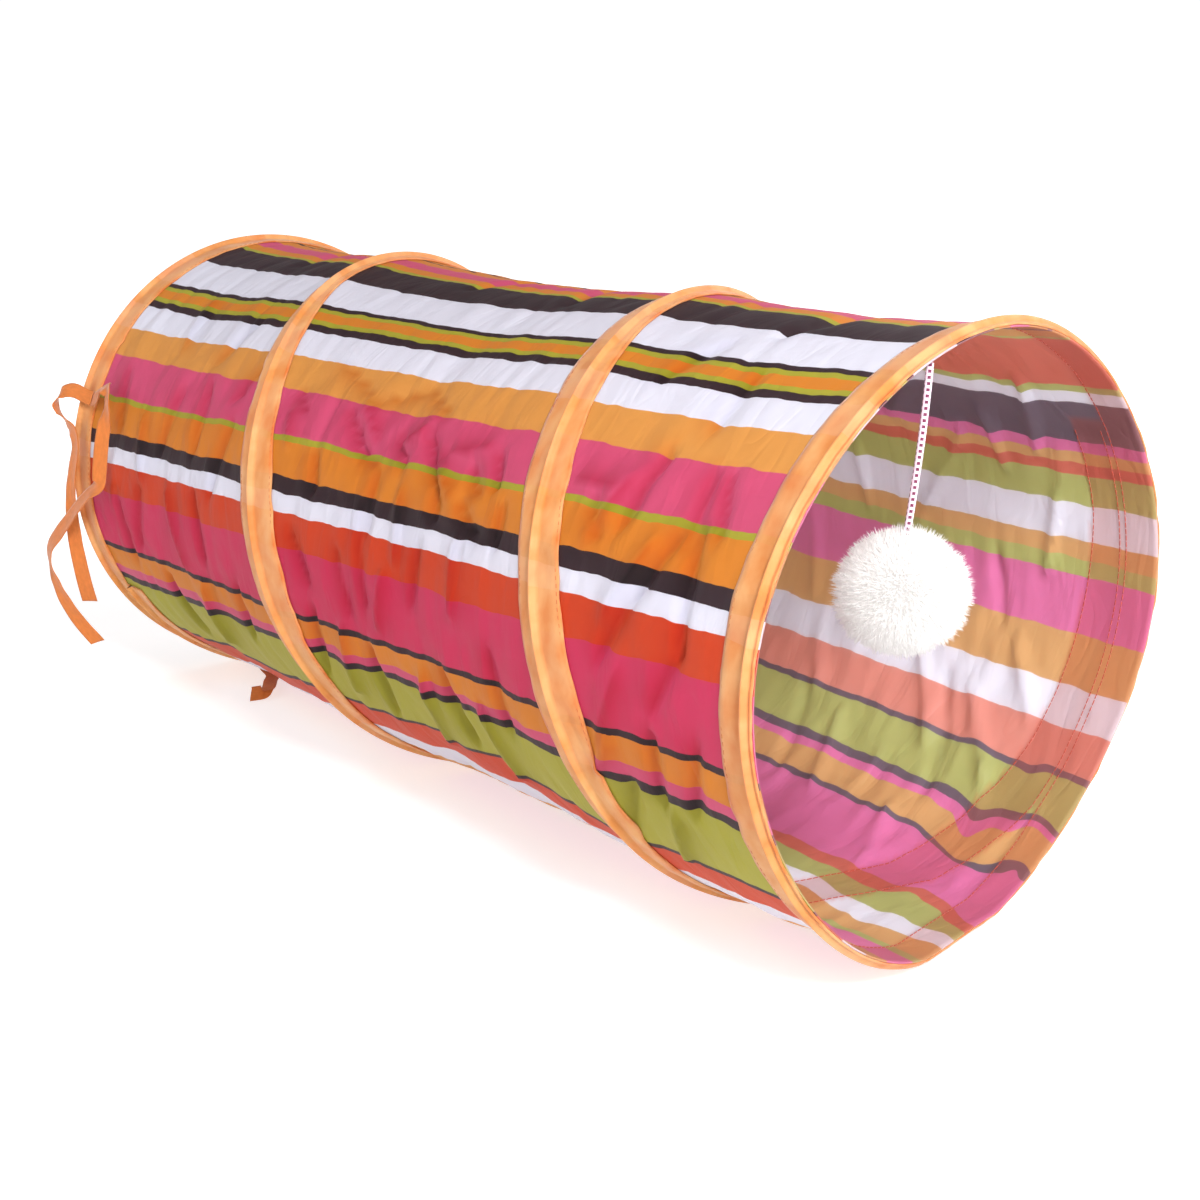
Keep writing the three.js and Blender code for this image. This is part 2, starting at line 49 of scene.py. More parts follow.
# Camera, from the fit to the photograph
CAMERA_PLACE = (0.6274, -0.5073, 0.3257)
CAMERA_AZIMUTH = 49.28
CAMERA_ELEVATION = 16.41
CAMERA_ROLL = -0.10
CAMERA_LENS = 51.0
CAMERA_SENSOR = 36.0

# Tube, the part's own sizes
LENGTH = 520.0
MOUTH_X = LENGTH / 2 - 1.9
RADIUS = 122.5
AROUND = 2 * math.pi * RADIUS
RING_TAPE_WIDTH = 16.0
RING_WIRE_INSET = 3.0
TAPE_EDGE_GAP = 0.5
CHANNEL_ROOM = 3.5
SPIRAL_FROM = -240.0
SPIRAL_TO = 667.5
STACK_HEIGHT = 4.30
FLAT_HALF_ANGLE = 10.0
AXIS_HEIGHT = (RADIUS + STACK_HEIGHT) * math.cos(math.radians(FLAT_HALF_ANGLE))
BEND_REACH = 200.0
DRAW_IN_ENDS = 0.009
DRAW_IN_MIDDLE = 0.013
DRAW_IN_MIDDLE_BACK = 240.0
DRAW_IN_MIDDLE_REACH = 110.0
DRAW_IN_BELOW = 0.2
FULL_BAY = 150.0
SAG = 1.6
SAG_ANGLE = 165.0
SAG_REACH = 60.0

# Bends of the two end rings: waves per turn, cosine and sine parts of the shift along the
# tube and of the change of radius
MOUTH_BEND = [
    (1, 2.0, 3.6, 0.0, 0.0),
    (2, 0.4, -2.0, 0.7, 1.5),
    (3, 0.5, 3.0, -0.4, -0.5),
]
REAR_BEND = [
    (1, 0.0, -1.1, 0.0, 0.0),
    (2, 0.6, -0.4, -0.3, 1.1),
    (3, -0.7, -0.2, 0.3, 0.0),
]

# The spiral: angle, the wire's distance back, and the tape's reach in front of it and behind
SPIRAL = [
    (-248, 512, 14, 9), (-200, 492, 14, 10), (-140, 455, 14, 11), (-80, 413, 13, 11),
    (-45, 401, 9, 9), (-9, 387, 6, 6), (20, 372, 5.5, 5.5), (40, 356.5, 9, 10),
    (55, 345, 10.5, 12), (70, 335.5, 14, 12), (85, 327, 16, 12.5), (100, 319, 16.5, 12.5),
    (120, 309, 14.5, 12), (150, 297, 11, 11), (210, 262, 14, 11), (270, 222, 16, 12),
    (330, 173, 9, 11), (351, 161, 6, 9), (380, 146.5, 6, 13), (400, 137, 9, 13.5),
    (420, 127, 11.5, 13), (440, 117, 15, 11), (460, 106, 15, 12), (480, 96, 11.5, 12),
    (510, 86, 11, 11), (552, 57, 14, 11), (600, 30, 14, 11), (720, 10, 14, 11),
]

# Main folds, as in the part: angle, back, reach, width, depth, turn
FOLDS = [
    (60, 250, 34, 15, 1.8, 25),
    (84, 215, 40, 15, 2.0, -20),
    (132, 225, 38, 16, 2.4, 8),
    (128, 170, 32, 14, 2.0, -6),
    (30, 230, 36, 16, 1.5, 15),
    (96, 430, 42, 17, 2.0, 12),
    (138, 425, 34, 15, 2.2, -10),
    (118, 385, 30, 14, 1.6, 18),
    (48, 440, 38, 16, 1.4, -12),
    (126, 62, 30, 14, 1.6, 10),
    (252, 150, 44, 17, 2.2, -15),
    (285, 240, 40, 17, 2.0, 20),
    (232, 330, 42, 18, 2.2, 5),
    (305, 400, 40, 17, 1.8, -18),
]

# Creases of the cloth: from angle and back, to angle and back, half width,
# and depth, which is below zero on a ridge
CREASES = [
    # middle bay, near side
    (55.5, 278, 64, 259, 3.0, 3.4),
    (64, 259, 65, 246, 2.6, 2.7),
    (53, 270, 60, 255, 3.8, -2.1),
    (58, 237, 64, 226, 2.4, 3.0),
    (60.5, 232, 56.5, 218, 3.0, -3.1),
    (56.5, 215, 67, 197, 2.7, 4.3),
    (67, 197, 73, 194, 3.0, 3.0),
    (61, 205, 68, 186, 4.5, -2.3),
    (60, 194, 57, 172, 3.2, -3.1),
    (57, 164, 64, 158, 2.7, 3.6),
    (61, 178, 66, 168, 4.1, 2.5),
    (67, 290, 75, 286, 3.4, 2.5),
    (67, 243, 80, 241, 3.4, 2.3),
    (68.5, 179, 74, 162, 3.0, 3.0),
    (67.5, 149, 75, 149, 3.0, 2.3),
    (70, 222, 84, 219, 3.8, -2.1),
    (75, 247, 96, 241, 3.8, 2.1),
    (80, 202, 92, 207, 3.4, 2.5),
    (76, 176, 90, 174, 3.4, -2.1),
    (86, 262, 99, 255, 4.5, 2.3),
    (88, 226, 100, 232, 4.1, -2.3),
    (54, 321, 58, 309, 3.4, 2.1),
    (85, 300, 95, 286, 4.1, 2.5),
    (60, 319, 66, 313, 3.4, -1.8),
    (52, 267, 47, 236, 3.4, 1.6),
    (45, 300, 50, 271, 4.1, 1.4),
    (46, 233, 51, 210, 3.8, 1.6),
    (102, 286, 118, 292, 3.8, 3.0),
    (104, 262, 120, 268, 4.5, -2.7),
    (106, 243, 124, 246, 4.1, 3.4),
    (108, 205, 127, 209, 4.5, -3.0),
    (104, 187, 122, 183, 3.8, 3.0),
    (110, 165, 128, 158, 4.1, -2.7),
    (96, 150, 112, 146, 3.8, 2.3),
    # front bay, near side
    (50, 72, 65, 81, 3.4, 3.1),
    (56, 84, 68, 96, 4.5, -2.1),
    (52, 46, 66, 45, 3.0, 2.7),
    (63, 50, 76, 65, 3.4, 3.4),
    (75, 65, 88, 80, 3.8, 3.1),
    (66, 62, 80, 78, 4.9, -2.3),
    (62, 41, 83, 38, 3.4, 3.4),
    (83, 38, 94, 51, 3.4, 2.5),
    (52, 38, 62, 31, 2.8, 2.3),
    (59, 111, 59, 89, 3.0, -2.5),
    (62, 97, 68, 90, 3.0, 2.1),
    (90, 70, 104, 84, 4.5, -1.8),
    (100, 100, 112, 92, 3.4, 2.3),
    (103, 77, 111, 88, 3.8, -3.0),
    (99, 53, 114, 56, 3.8, 3.1),
    (98, 29, 113, 37, 3.8, 2.3),
    (112, 71, 127, 84, 4.1, 3.1),
    (116, 52, 130, 60, 4.1, -2.7),
    (30, 60, 44, 58, 4.5, 1.8),
    (22, 90, 36, 102, 4.5, 1.6),
    # rear bay, near side
    (52, 360, 60, 372, 3.4, 2.3),
    (66, 366, 82, 374, 3.8, 2.5),
    (58, 400, 74, 396, 3.4, 3.0),
    (62, 424, 78, 432, 3.4, 2.5),
    (70, 452, 84, 448, 3.8, -2.3),
    (84, 392, 100, 386, 4.1, 2.7),
    (86, 420, 104, 410, 4.5, -2.3),
    (88, 452, 104, 462, 3.8, 2.7),
    (92, 478, 108, 472, 3.8, 2.3),
    (104, 356, 118, 362, 3.8, 2.5),
    (108, 396, 126, 402, 4.5, -3.0),
    (110, 440, 128, 436, 4.1, 3.1),
    (40, 392, 52, 404, 4.5, 1.8),
    (36, 452, 50, 446, 4.5, -1.8),
    (60, 482, 74, 476, 3.4, 2.1),
    # top
    (12, 214, 352, 226, 5.2, 2.3),
    (16, 74, 356, 62, 5.2, 2.1),
    (10, 290, 350, 282, 6.0, 2.1),
    (14, 430, 352, 442, 6.0, 2.3),
    # far side
    (291, 160, 276, 157, 3.4, 3.0),
    (308, 76, 293, 72, 3.4, 3.1),
    (320, 45, 298, 53, 3.8, 3.1),
    (288, 47, 270, 54, 3.4, 2.7),
    (271, 81, 257, 74, 3.4, -2.7),
    (245, 111, 226, 91, 3.4, 3.1),
    (243, 97, 225, 80, 3.0, -2.7),
    (241, 81, 223, 55, 3.8, 3.0),
    (242, 173, 230, 163, 4.1, 2.7),
    (228, 168, 209, 155, 4.5, -2.7),
    (226, 142, 206, 129, 4.1, 3.1),
    (208, 86, 192, 74, 3.8, 3.0),
    (228, 87, 215, 77, 3.4, -2.3),
    (300, 92, 279, 121, 4.1, 3.0),
    (253, 64, 238, 46, 3.8, 2.5),
    (225, 56, 211, 44, 3.8, 2.7),
    (302, 132, 314, 109, 3.8, 2.5),
    (275, 196, 252, 186, 4.5, 2.5),
    (262, 262, 240, 268, 4.9, 2.7),
    (318, 248, 298, 256, 4.9, -2.5),
    (300, 322, 276, 312, 4.9, 2.7),
    (266, 384, 244, 376, 4.9, 2.7),
    (322, 420, 300, 430, 4.9, 2.5),
    (282, 452, 262, 446, 4.5, -2.5),
    (248, 470, 230, 478, 4.5, 2.5),
    (216, 222, 200, 230, 4.5, 2.3),
    (214, 400, 196, 392, 4.5, 2.3),
]

# Painted shade beside each crease, on one side of it: how far it reaches, how much darker it
# makes the colour, and the share of it on the far side
CREASE_SHADE_REACH = 6.5
CREASE_SHADE_AMOUNT = 0.92
CREASE_SHADE_FAR_SHARE = 0.35

# Where the cloth is crumpled most: angle, reach in degrees, depth
CRUMPLED = [(57, 8, 2.2), (74, 9, 1.2), (104, 16, 1.5), (205, 22, 2.4), (250, 25, 1.6),
            (300, 20, 1.4)]

# Depth of the crinkles that lie all over the cloth
LARGE_CRINKLE = 1.15
SMALL_CRINKLE = 0.35

# Stripes: where each starts, and its colour
STRIPES = [
    (0.0, "deep_orange"), (3.4, "olive"), (4.8, "black"), (14.9, "white"),
    (26.3, "black"), (27.5, "olive"), (28.9, "deep_orange"), (31.8, "olive"),
    (33.1, "black"), (35.5, "white"), (42.2, "light_orange"), (50.4, "pink"),
    (60.8, "olive"), (62.2, "deep_orange"), (70.3, "black"), (73.7, "white"),
    # The pink band from 85.1 degrees is the pink darkened as painted shade
    (77.5, "red_orange"), (85.1, "shaded_pink"), (100.3, "black"), (101.3, "deep_orange"),
    (107.3, "pink"), (110.0, "black"), (112.2, "olive"), (129.0, "black"),
    (130.3, "red_orange"), (139.5, "white"), (148.0, "light_orange"), (156.0, "pink"),
    (165.0, "olive"), (168.0, "light_orange"), (173.0, "white"), (178.2, "olive"),
    (184.3, "red_orange"), (188.7, "pink"), (206.0, "black"), (207.0, "light_orange"),
    (213.2, "pink"), (215.2, "black"), (217.6, "olive"), (228.0, "black"),
    (229.5, "salmon"), (239.0, "white"), (246.8, "light_orange"), (258.0, "pink"),
    (270.2, "olive"), (273.8, "light_orange"), (278.0, "white"), (286.4, "olive"),
    (293.6, "red_orange"), (296.3, "light_orange"), (299.0, "pink"), (301.8, "black"),
    (313.4, "white"), (316.8, "olive"), (319.0, "red_orange"), (339.0, "olive"),
    (341.0, "deep_orange"), (346.0, "black"), (348.0, "deep_orange"), (353.5, "pink"),
    (359.4, "olive"),
]

# How far the stripes have turned at a distance from the mouth: back, degrees
TWIST = [(0, -0.9), (80, 0.0), (240, 2.5), (440, 5.1), (520, 5.8)]

# How far some stripes sit from their place in the middle bay: angle, degrees, and the share
# of it at a distance from the mouth: back, share
MIDDLE_SHIFT = [(0, 0.0), (24, -0.8), (34, -1.8), (44, -1.4), (54, 0.0), (106, 0.0),
                (114, -2.0), (128, -6.8), (150, -5.5), (175, 0.0), (360, 0.0)]
MIDDLE_SHARE = [(0, 0.0), (110, 0.0), (170, 1.0), (300, 1.0), (370, 0.3), (520, 0.0)]

# Where the stripes swirl, at the underside near the mouth: shares of the turn and of the
# length, with how strongly, and how far in turns
SWIRL = 0.045
SWIRL_AROUND = [(0.0, 0.0), (0.46, 0.0), (0.50, 1.0), (0.60, 1.0), (0.66, 0.0)]
SWIRL_ALONG = [(0.0, 1.0), (0.08, 1.0), (0.18, 0.0)]

# How uneven the stripes' edges are, in turns
WOBBLE = 0.0055

# The stripes' colours on the printed outside, and paler where they show through inside, in
# sRGB from 0 to 1
OUTSIDE = {
    "pink": (0.79, 0.29, 0.43),
    # The lower pink band's colour is the pink darkened as painted shade
    "shaded_pink": (0.77, 0.17, 0.32),
    "deep_orange": (0.83, 0.49, 0.14),
    "light_orange": (0.84, 0.57, 0.27),
    "red_orange": (0.78, 0.23, 0.08),
    "salmon": (0.82, 0.38, 0.25),
    "olive": (0.64, 0.62, 0.17),
    "black": (0.17, 0.11, 0.13),
    "white": (0.86, 0.86, 0.91),
}
INSIDE = {
    "pink": (0.88, 0.51, 0.73),
    # The lower pink band inside, the same pink without the painted shade
    "shaded_pink": (0.88, 0.51, 0.73),
    "deep_orange": (0.80, 0.62, 0.42),
    "light_orange": (0.83, 0.68, 0.48),
    "red_orange": (0.82, 0.48, 0.44),
    "salmon": (0.88, 0.62, 0.58),
    "olive": (0.72, 0.74, 0.50),
    "black": (0.50, 0.44, 0.50),
    "white": (0.90, 0.90, 0.94),
}

# Other colours, in sRGB from 0 to 1
COLOURS = {
    "tape": (0.88, 0.56, 0.30),
    "tape_edge": (0.84, 0.40, 0.14),
    # Painted shade of the tape near the mouth
    "mouth_tape_shade": (0.74, 0.38, 0.19),
    # Painted highlight on the tape's raised puckers
    "tape_highlight": (0.93, 0.73, 0.50),
    # Painted shade of the tapes, seen on the inside
    "tape_shade_inside": (0.90, 0.42, 0.30),
    "thread": (0.88, 0.45, 0.20),
    "seam_thread": (0.80, 0.26, 0.14),
    "ribbon": (0.90, 0.52, 0.25),
    "cord": (0.93, 0.85, 0.91),
    "fleck": (0.44, 0.10, 0.27),
    "pompom": (0.97, 0.965, 0.96),
    "pompom_dark": (0.93, 0.92, 0.915),
    "steel": (0.54, 0.55, 0.56),
    "floor": (0.80, 0.80, 0.80),
}

# Light that comes from all round: bright near the horizon and dimmer overhead, and the
# heights between which it changes
WORLD_LOW = 1.05
WORLD_HIGH = 0.33
WORLD_FROM = 0.07
WORLD_TO = 0.22

# Floor: its own glow close to the tunnel and far off, as on a lit white sweep
GLOW_NEAR = 0.62
GLOW_FAR = 1.0
GLOW_FROM = 0.40
GLOW_TO = 1.10
FLOOR_HALF = 6000.0

# Cloth: half its thickness, faces round and along, and how near a wire it lies smooth
CLOTH_HALF = 0.3
CLOTH_AROUND = 192
CLOTH_ALONG = 248
CLOTH_SMOOTH = 22.0

# Looks of each cloth: share of the light that goes through, roughness, sheen
OUTSIDE_LOOK = (0.36, 0.46, 0.02)
INSIDE_LOOK = (0.50, 0.45, 0.1)
TAPE_LOOK = (0.25, 0.48, 0.3)
RIBBON_LOOK = (0.2, 0.42, 0.3)
CLOTH_SPECULAR = 0.2
THROUGH_GAMMA = 0.35
# How much darker the painted crease shade makes the colour
CREASE_SHADE_GAMMA = 1.7

# Distance from thread to thread in each cloth
CLOTH_WEAVE = 0.55
TAPE_WEAVE = 0.5
RIBBON_RIB = 0.7

# How much painted tape shade tints the inside, and the stripes through the tape
TAPE_SHADE_INSIDE = 0.28
TAPE_BENEATH = 0.08

# Tapes
TAPE_UNDERSIDE = 0.50
TAPE_TOP = 1.15
TAPE_STEP = 0.9375
BEAD_FOOT = 1.6
BEAD_TOP = 3.8
BEAD_SKIN = 0.3
FLAT_POINTS = 9
BEAD_POINTS = 9
EDGE_ROLL = 0.35
EDGE_ROLL_WIDTH = 1.8

# Painted shade on the tape near the mouth, darker there: share of the length, amount
MOUTH_TAPE_SHADE = [(0.0, 0.0893), (0.04, 0.0893), (0.07, 0.0)]

# How much deeper it is at its hems: share of the width from the middle, amount
TAPE_HEM = [(0.0, 0.0), (0.42, 0.0), (0.46, 0.75), (0.5, 0.525)]

# Stitches along the tapes' edges
STITCH_PITCH = 3.0
STITCH_LENGTH = 2.1
SEAM_STITCH_LENGTH = 3.0
STITCH_RADIUS = 0.2
STITCH_INSET = 1.3

# Ribbon ties: x, y, z, and the way the face looks as azimuth and elevation
RIBBON_WIDTH = 8.0
RIBBON_THICKNESS = 0.45
RIBBON_SLANT = 2.2
TIE_LOOP = [
    (-249.4, -117.4, 170.0, -90, 21),
    (-253.2, -118.9, 170.9, -89, 22),
    (-260.5, -122.0, 173.4, -75, 22),
    (-266.2, -125.2, 172.6, -70, 35),
    (-269.6, -127.6, 169.5, -120, 35),
    (-270.4, -129.0, 164.6, -140, 0),
    (-267.5, -128.3, 159.9, -120, -40),
    (-261.5, -127.6, 156.2, -95, -20),
    (-254.5, -127.4, 151.5, -90, 12),
    (-251.9, -128.0, 144.1, -90, 9),
    (-256.4, -129.0, 130.2, -85, 2),
    (-260.5, -129.3, 116.6, -75, 0),
    (-261.4, -129.3, 103.4, -60, 0),
    (-262.9, -128.2, 89.1, -45, 0),
    (-263.2, -126.8, 77.2, -38, 0),
    (-266.0, -123.8, 63.8, -32, 0),
    (-270.1, -119.8, 50.9, -30, 0),
]
TIE_LONG = [
    (-248.0, -117.4, 170.0, -90, 21),
    (-243.5, -118.1, 170.4, -90, 22),
    (-228.0, -119.0, 178.5, -95, 55),
    (-222.9, -120.4, 177.1, -100, 20),
    (-221.8, -121.4, 171.5, -100, 5),
    (-220.9, -123.0, 164.8, -85, -10),
    (-221.9, -124.6, 157.4, -55, 5),
    (-223.3, -126.4, 146.1, -48, 4),
    (-225.3, -127.4, 133.9, -48, 0),
    (-225.2, -128.6, 127.5, -60, 20),
    (-234.2, -131.0, 121.4, -70, 42),
    (-243.1, -133.4, 113.5, -60, 40),
    (-252.4, -135.2, 104.8, -58, 32),
    (-262.5, -137.4, 95.3, -60, 25),
    (-272.2, -139.4, 85.1, -95, 10),
    (-274.5, -139.0, 75.9, -105, -10),
    (-274.1, -136.5, 63.8, -75, -18),
    (-274.1, -131.8, 51.1, -55, -12),
    (-273.2, -125.0, 38.0, -45, -4),
    (-269.7, -117.4, 25.8, -41, 0),
]
TIE_FLOOR = [
    (-242.4, -27.0, 1.2, 0, 90),
    (-230.0, -31.5, 0.8, 0, 90),
    (-216.0, -35.5, 0.9, 0, 90),
    (-205.7, -42.9, 1.8, -41, 75),
    (-191.9, -52.2, 3.6, -41, 40),
    (-184.4, -60.0, 4.7, -50, 15),
    (-185.1, -67.2, 5.0, -55, 10),
]

# Cord and pompom
CORD_DIAMETER = 2.8
CORD_ROUTE = [
    (260.2, -41.7, 238.9),
    (260.0, -42.0, 230.0),
    (259.2, -43.2, 210.0),
    (257.9, -44.7, 190.0),
    (257.0, -45.6, 178.3),
]
FLECK_PITCH = 2.15
POMPOM_CENTRE = (256.4, -46.0, 157.2)
POMPOM_CORE = 19.5
POMPOM_REACH = 26.2
POMPOM_SQUASH = 0.94
FIBRE_COUNT = 17000
FIBRE_RADIUS = 0.34
CLUMP_COUNT = 420

# Stands for the light that scatters from strand to strand in the white yarn
POMPOM_GLOW = 0.20


def make_camera():
    a = math.radians(CAMERA_AZIMUTH)
    e = math.radians(CAMERA_ELEVATION)
    back = Vector((math.sin(a) * math.cos(e), -math.cos(a) * math.cos(e), math.sin(e)))
    right = Vector((math.cos(a), math.sin(a), 0.0))
    up = back.cross(right)
    axes = Matrix((right, up, back)).transposed().to_4x4()
    camera = bpy.data.objects.new("camera", bpy.data.cameras.new("camera"))
    bpy.context.scene.collection.objects.link(camera)
    roll = Matrix.Rotation(math.radians(CAMERA_ROLL), 4, "Z")
    camera.matrix_world = Matrix.Translation(CAMERA_PLACE) @ axes @ roll
    camera.data.lens = CAMERA_LENS
    camera.data.sensor_width = CAMERA_SENSOR
    camera.data.sensor_fit = "AUTO"
    camera.data.clip_start = 0.01
    bpy.context.scene.camera = camera


def linear(colour):
    """An sRGB colour as Blender's linear one."""
    values = [c / 12.92 if c <= 0.04045 else ((c + 0.055) / 1.055) ** 2.4 for c in colour]
    return (*values, 1.0)


def smooth_step(t):
    t = np.clip(t, 0.0, 1.0)
    return t * t * (3 - 2 * t)


def soft_noise(x, y, cell_x, cell_y, period_x, seed):
    """Smooth noise from -1 to 1, which repeats along x."""
    count_x = max(int(round(period_x / cell_x)), 3)
    rng = np.random.default_rng(seed)
    rows = 512
    lattice = rng.uniform(-1, 1, (count_x, rows))
    px = np.asarray(x) / period_x * count_x
    py = np.asarray(y) / cell_y + rows / 4
    ix, iy = np.floor(px).astype(int), np.floor(py).astype(int)
    fx, fy = smooth_step(px - ix), smooth_step(py - iy)
    ix, iy = ix % count_x, iy % rows
    jx, jy = (ix + 1) % count_x, (iy + 1) % rows
    low = lattice[ix, iy] * (1 - fx) + lattice[jx, iy] * fx
    high = lattice[ix, jy] * (1 - fx) + lattice[jx, jy] * fx
    return low * (1 - fy) + high * fy


def spiral_value(column, angle):
    """A column of the spiral's table at an angle, eased between its rows."""
    table = np.array(SPIRAL, float)
    angles, values = table[:, 0], table[:, column]
    i = np.clip(np.searchsorted(angles, angle, side="left") - 1, 0, len(angles) - 2)
    before, after = np.maximum(i - 1, 0), np.minimum(i + 2, len(angles) - 1)
    span = angles[i + 1] - angles[i]
    t = (angle - angles[i]) / span
    slope_from = (values[i + 1] - values[before]) / (angles[i + 1] - angles[before]) * span
    slope_to = (values[after] - values[i]) / (angles[after] - angles[i]) * span
    t2, t3 = t * t, t * t * t
    return ((2 * t3 - 3 * t2 + 1) * values[i] + (t3 - 2 * t2 + t) * slope_from
            + (3 * t2 - 2 * t3) * values[i + 1] + (t3 - t2) * slope_to)


def wave(bend, cos_column, sin_column, angle):
    total = 0.0
    for row in bend:
        a = np.radians(row[0] * angle)
        total = total + row[cos_column] * np.cos(a) + row[sin_column] * np.sin(a)
    return total


def mouth_edge(angle):
    return -wave(MOUTH_BEND, 1, 2, angle)


def rear_edge(angle):
    return LENGTH - wave(REAR_BEND, 1, 2, angle)


def mouth_tape_rear(angle):
    return mouth_edge(angle) + RING_TAPE_WIDTH


def rear_tape_front(angle):
    return rear_edge(angle) - RING_TAPE_WIDTH


def spiral_wire(angle):
    nearest = mouth_tape_rear(angle) + TAPE_EDGE_GAP + CHANNEL_ROOM
    farthest = rear_tape_front(angle) - TAPE_EDGE_GAP - CHANNEL_ROOM
    return np.minimum(np.maximum(spiral_value(1, angle), nearest), farthest)


def spiral_laps(angle):
    """The spiral's own angles at an angle round the tube, each with where it is there."""
    for lap in (360.0, 0.0, -360.0):
        a = np.mod(angle, 360.0) + lap
        yield a, (a >= SPIRAL_FROM) & (a <= SPIRAL_TO)


def wires_at(angle):
    """Every wire that crosses the line along the tube at an angle, one layer each."""
    found = [mouth_edge(angle) + RING_WIRE_INSET]
    found += [np.where(is_there, spiral_wire(a), np.nan) for a, is_there in spiral_laps(angle)]
    found.append(rear_edge(angle) - RING_WIRE_INSET)
    return np.stack(found)


def degrees_from(angle, middle):
    """How far an angle lies from another, from -180 to 180."""
    return np.mod(angle - middle + 180.0, 360.0) - 180.0


def fold_depth(back, angle):
    depth = 0.0
    for middle, fold_back, reach, width, deep, turned in FOLDS:
        around = np.radians(degrees_from(angle, middle)) * RADIUS
        along = back - fold_back
        turn = math.radians(turned)
        p = (around * math.cos(turn) + along * math.sin(turn)) / reach
        q = (along * math.cos(turn) - around * math.sin(turn)) / width
        depth = depth + deep * np.exp(-p * p - q * q)
    return depth


def crease_places(back, angle):
    """For each crease its line, its half width and depth, and the places seen from its start:
    distance round the tube, distance along it, and share of the line."""
    for angle_from, back_from, angle_to, back_to, width, deep in CREASES:
        turn = degrees_from(angle_to, angle_from)
        line = np.array([math.radians(turn) * RADIUS, back_to - back_from])
        around = np.radians(degrees_from(angle, angle_from)) * RADIUS
        along = back - back_from
        share = (around * line[0] + along * line[1]) / (line @ line)
        yield line, width, deep, around, along, share


def crease_depth(back, angle):
    """Depth of the listed creases: each is a soft groove along a short straight line."""
    depth = 0.0
    for line, width, deep, around, along, share in crease_places(back, angle):
        t = np.clip(share, 0.0, 1.0)
        square = (around - t * line[0]) ** 2 + (along - t * line[1]) ** 2
        narrow = width * (0.55 + 0.45 * np.sin(np.pi * t))
        depth = depth + deep * np.exp(-square / (narrow * narrow))
    return depth


def painted_crease_shade(back, angle):
    """How much painted shade lies beside the creases: most at a crease's line and less
    away from it, on one side only."""
    shade = np.zeros(np.broadcast(back, angle).shape)
    for line, _, deep, around, along, share in crease_places(back, angle):
        side = (along * line[0] - around * line[1]) / math.hypot(*line) * np.sign(deep)
        ends = smooth_step((0.85 - np.abs(share - 0.5)) / 0.5)
        past = smooth_step((side + 1.5) / 3.0)
        here = past * np.exp(-np.maximum(side, 0.0) / CREASE_SHADE_REACH) * ends
        shade = np.maximum(shade, here)
    return shade * np.where(np.mod(angle, 360.0) < 180.0, 1.0, CREASE_SHADE_FAR_SHARE)


def crinkle_depth(back, angle):
    """Small uneven crinkles that run mostly round the tube."""
    around = np.radians(angle) * RADIUS
    lean = back + 6.0 * soft_noise(around, back, 60, 60, AROUND, 5)
    large = soft_noise(around, lean, 46, 13, AROUND, 11)
    small = soft_noise(around, lean, 24, 7, AROUND, 12)
    rough = soft_noise(around + 5.0 * small, back, 15, 13, AROUND, 13)
    amount = 0.0
    for middle, reach, depth in CRUMPLED:
        away = degrees_from(angle, middle) / reach
        amount = amount + depth * np.exp(-away * away)
    return (LARGE_CRINKLE * (0.5 - np.abs(large)) + SMALL_CRINKLE * (0.5 - np.abs(small))
            + amount * (0.5 - np.abs(rough)))


def cloth_radius(back, angle, is_creased=True):
    """Radius of the middle of the cloth."""
    back, angle = np.broadcast_arrays(back, angle)
    wires = wires_at(angle)
    before = np.nanmax(np.where(wires <= back, wires, -np.inf), axis=0)
    after = np.nanmin(np.where(wires > back, wires, np.inf), axis=0)
    in_bay = np.isfinite(before) & np.isfinite(after)
    before, after = np.where(in_bay, before, 0.0), np.where(in_bay, after, 1.0)
    span = after - before
    t = (back - before) / span
    slack = np.where(in_bay, 4 * t * (1 - t), 0.0)
    away = ((before + after) / 2 - DRAW_IN_MIDDLE_BACK) / DRAW_IN_MIDDLE_REACH
    share = DRAW_IN_ENDS + DRAW_IN_MIDDLE * np.exp(-away * away)
    share = share * (1 - DRAW_IN_BELOW + DRAW_IN_BELOW * np.cos(np.radians(angle)))
    draw = share * span * slack * np.minimum(span / FULL_BAY, 1.0)
    ends = smooth_step(back / SAG_REACH) * smooth_step((LENGTH - back) / SAG_REACH)
    sag = SAG * np.cos(np.radians(angle - SAG_ANGLE)) * ends
    bent = (wave(MOUTH_BEND, 3, 4, angle) * smooth_step(1 - back / BEND_REACH)
            + wave(REAR_BEND, 3, 4, angle) * smooth_step(1 - (LENGTH - back) / BEND_REACH))
    radius = RADIUS + bent + sag - draw - fold_depth(back, angle) * slack
    if is_creased:
        edge = np.minimum(back - before, after - back)
        loose = smooth_step(edge / CLOTH_SMOOTH) * in_bay
        radius = radius - (crease_depth(back, angle) + crinkle_depth(back, angle)) * loose
    return radius


def on_tube(back, angle, height):
    """Points at a height over the middle of the cloth, lifted under the tube as the part is."""
    back, angle, height = np.broadcast_arrays(back, angle, height)
    a = np.radians(angle)
    radius = cloth_radius(back, angle)
    plain = cloth_radius(back, angle, is_creased=False)
    down = -np.cos(a)
    reach = AXIS_HEIGHT / np.where(down > 0.05, down, 0.05)
    lift = np.where(down > 0.05, np.maximum(0.0, plain + STACK_HEIGHT - reach), 0.0)
    r = radius + height - lift
    return np.stack([MOUTH_X - back, -r * np.sin(a), AXIS_HEIGHT + r * np.cos(a)], axis=-1)


def new_piece(name, points, faces):
    """A smooth object from points in millimetres."""
    mesh = bpy.data.meshes.new(name)
    mesh.from_pydata((np.asarray(points) * MM).tolist(), [], faces)
    mesh.polygons.foreach_set("use_smooth", np.ones(len(mesh.polygons), bool))
    mesh.update()
    piece = bpy.data.objects.new(name, mesh)
    bpy.context.scene.collection.objects.link(piece)
    return piece


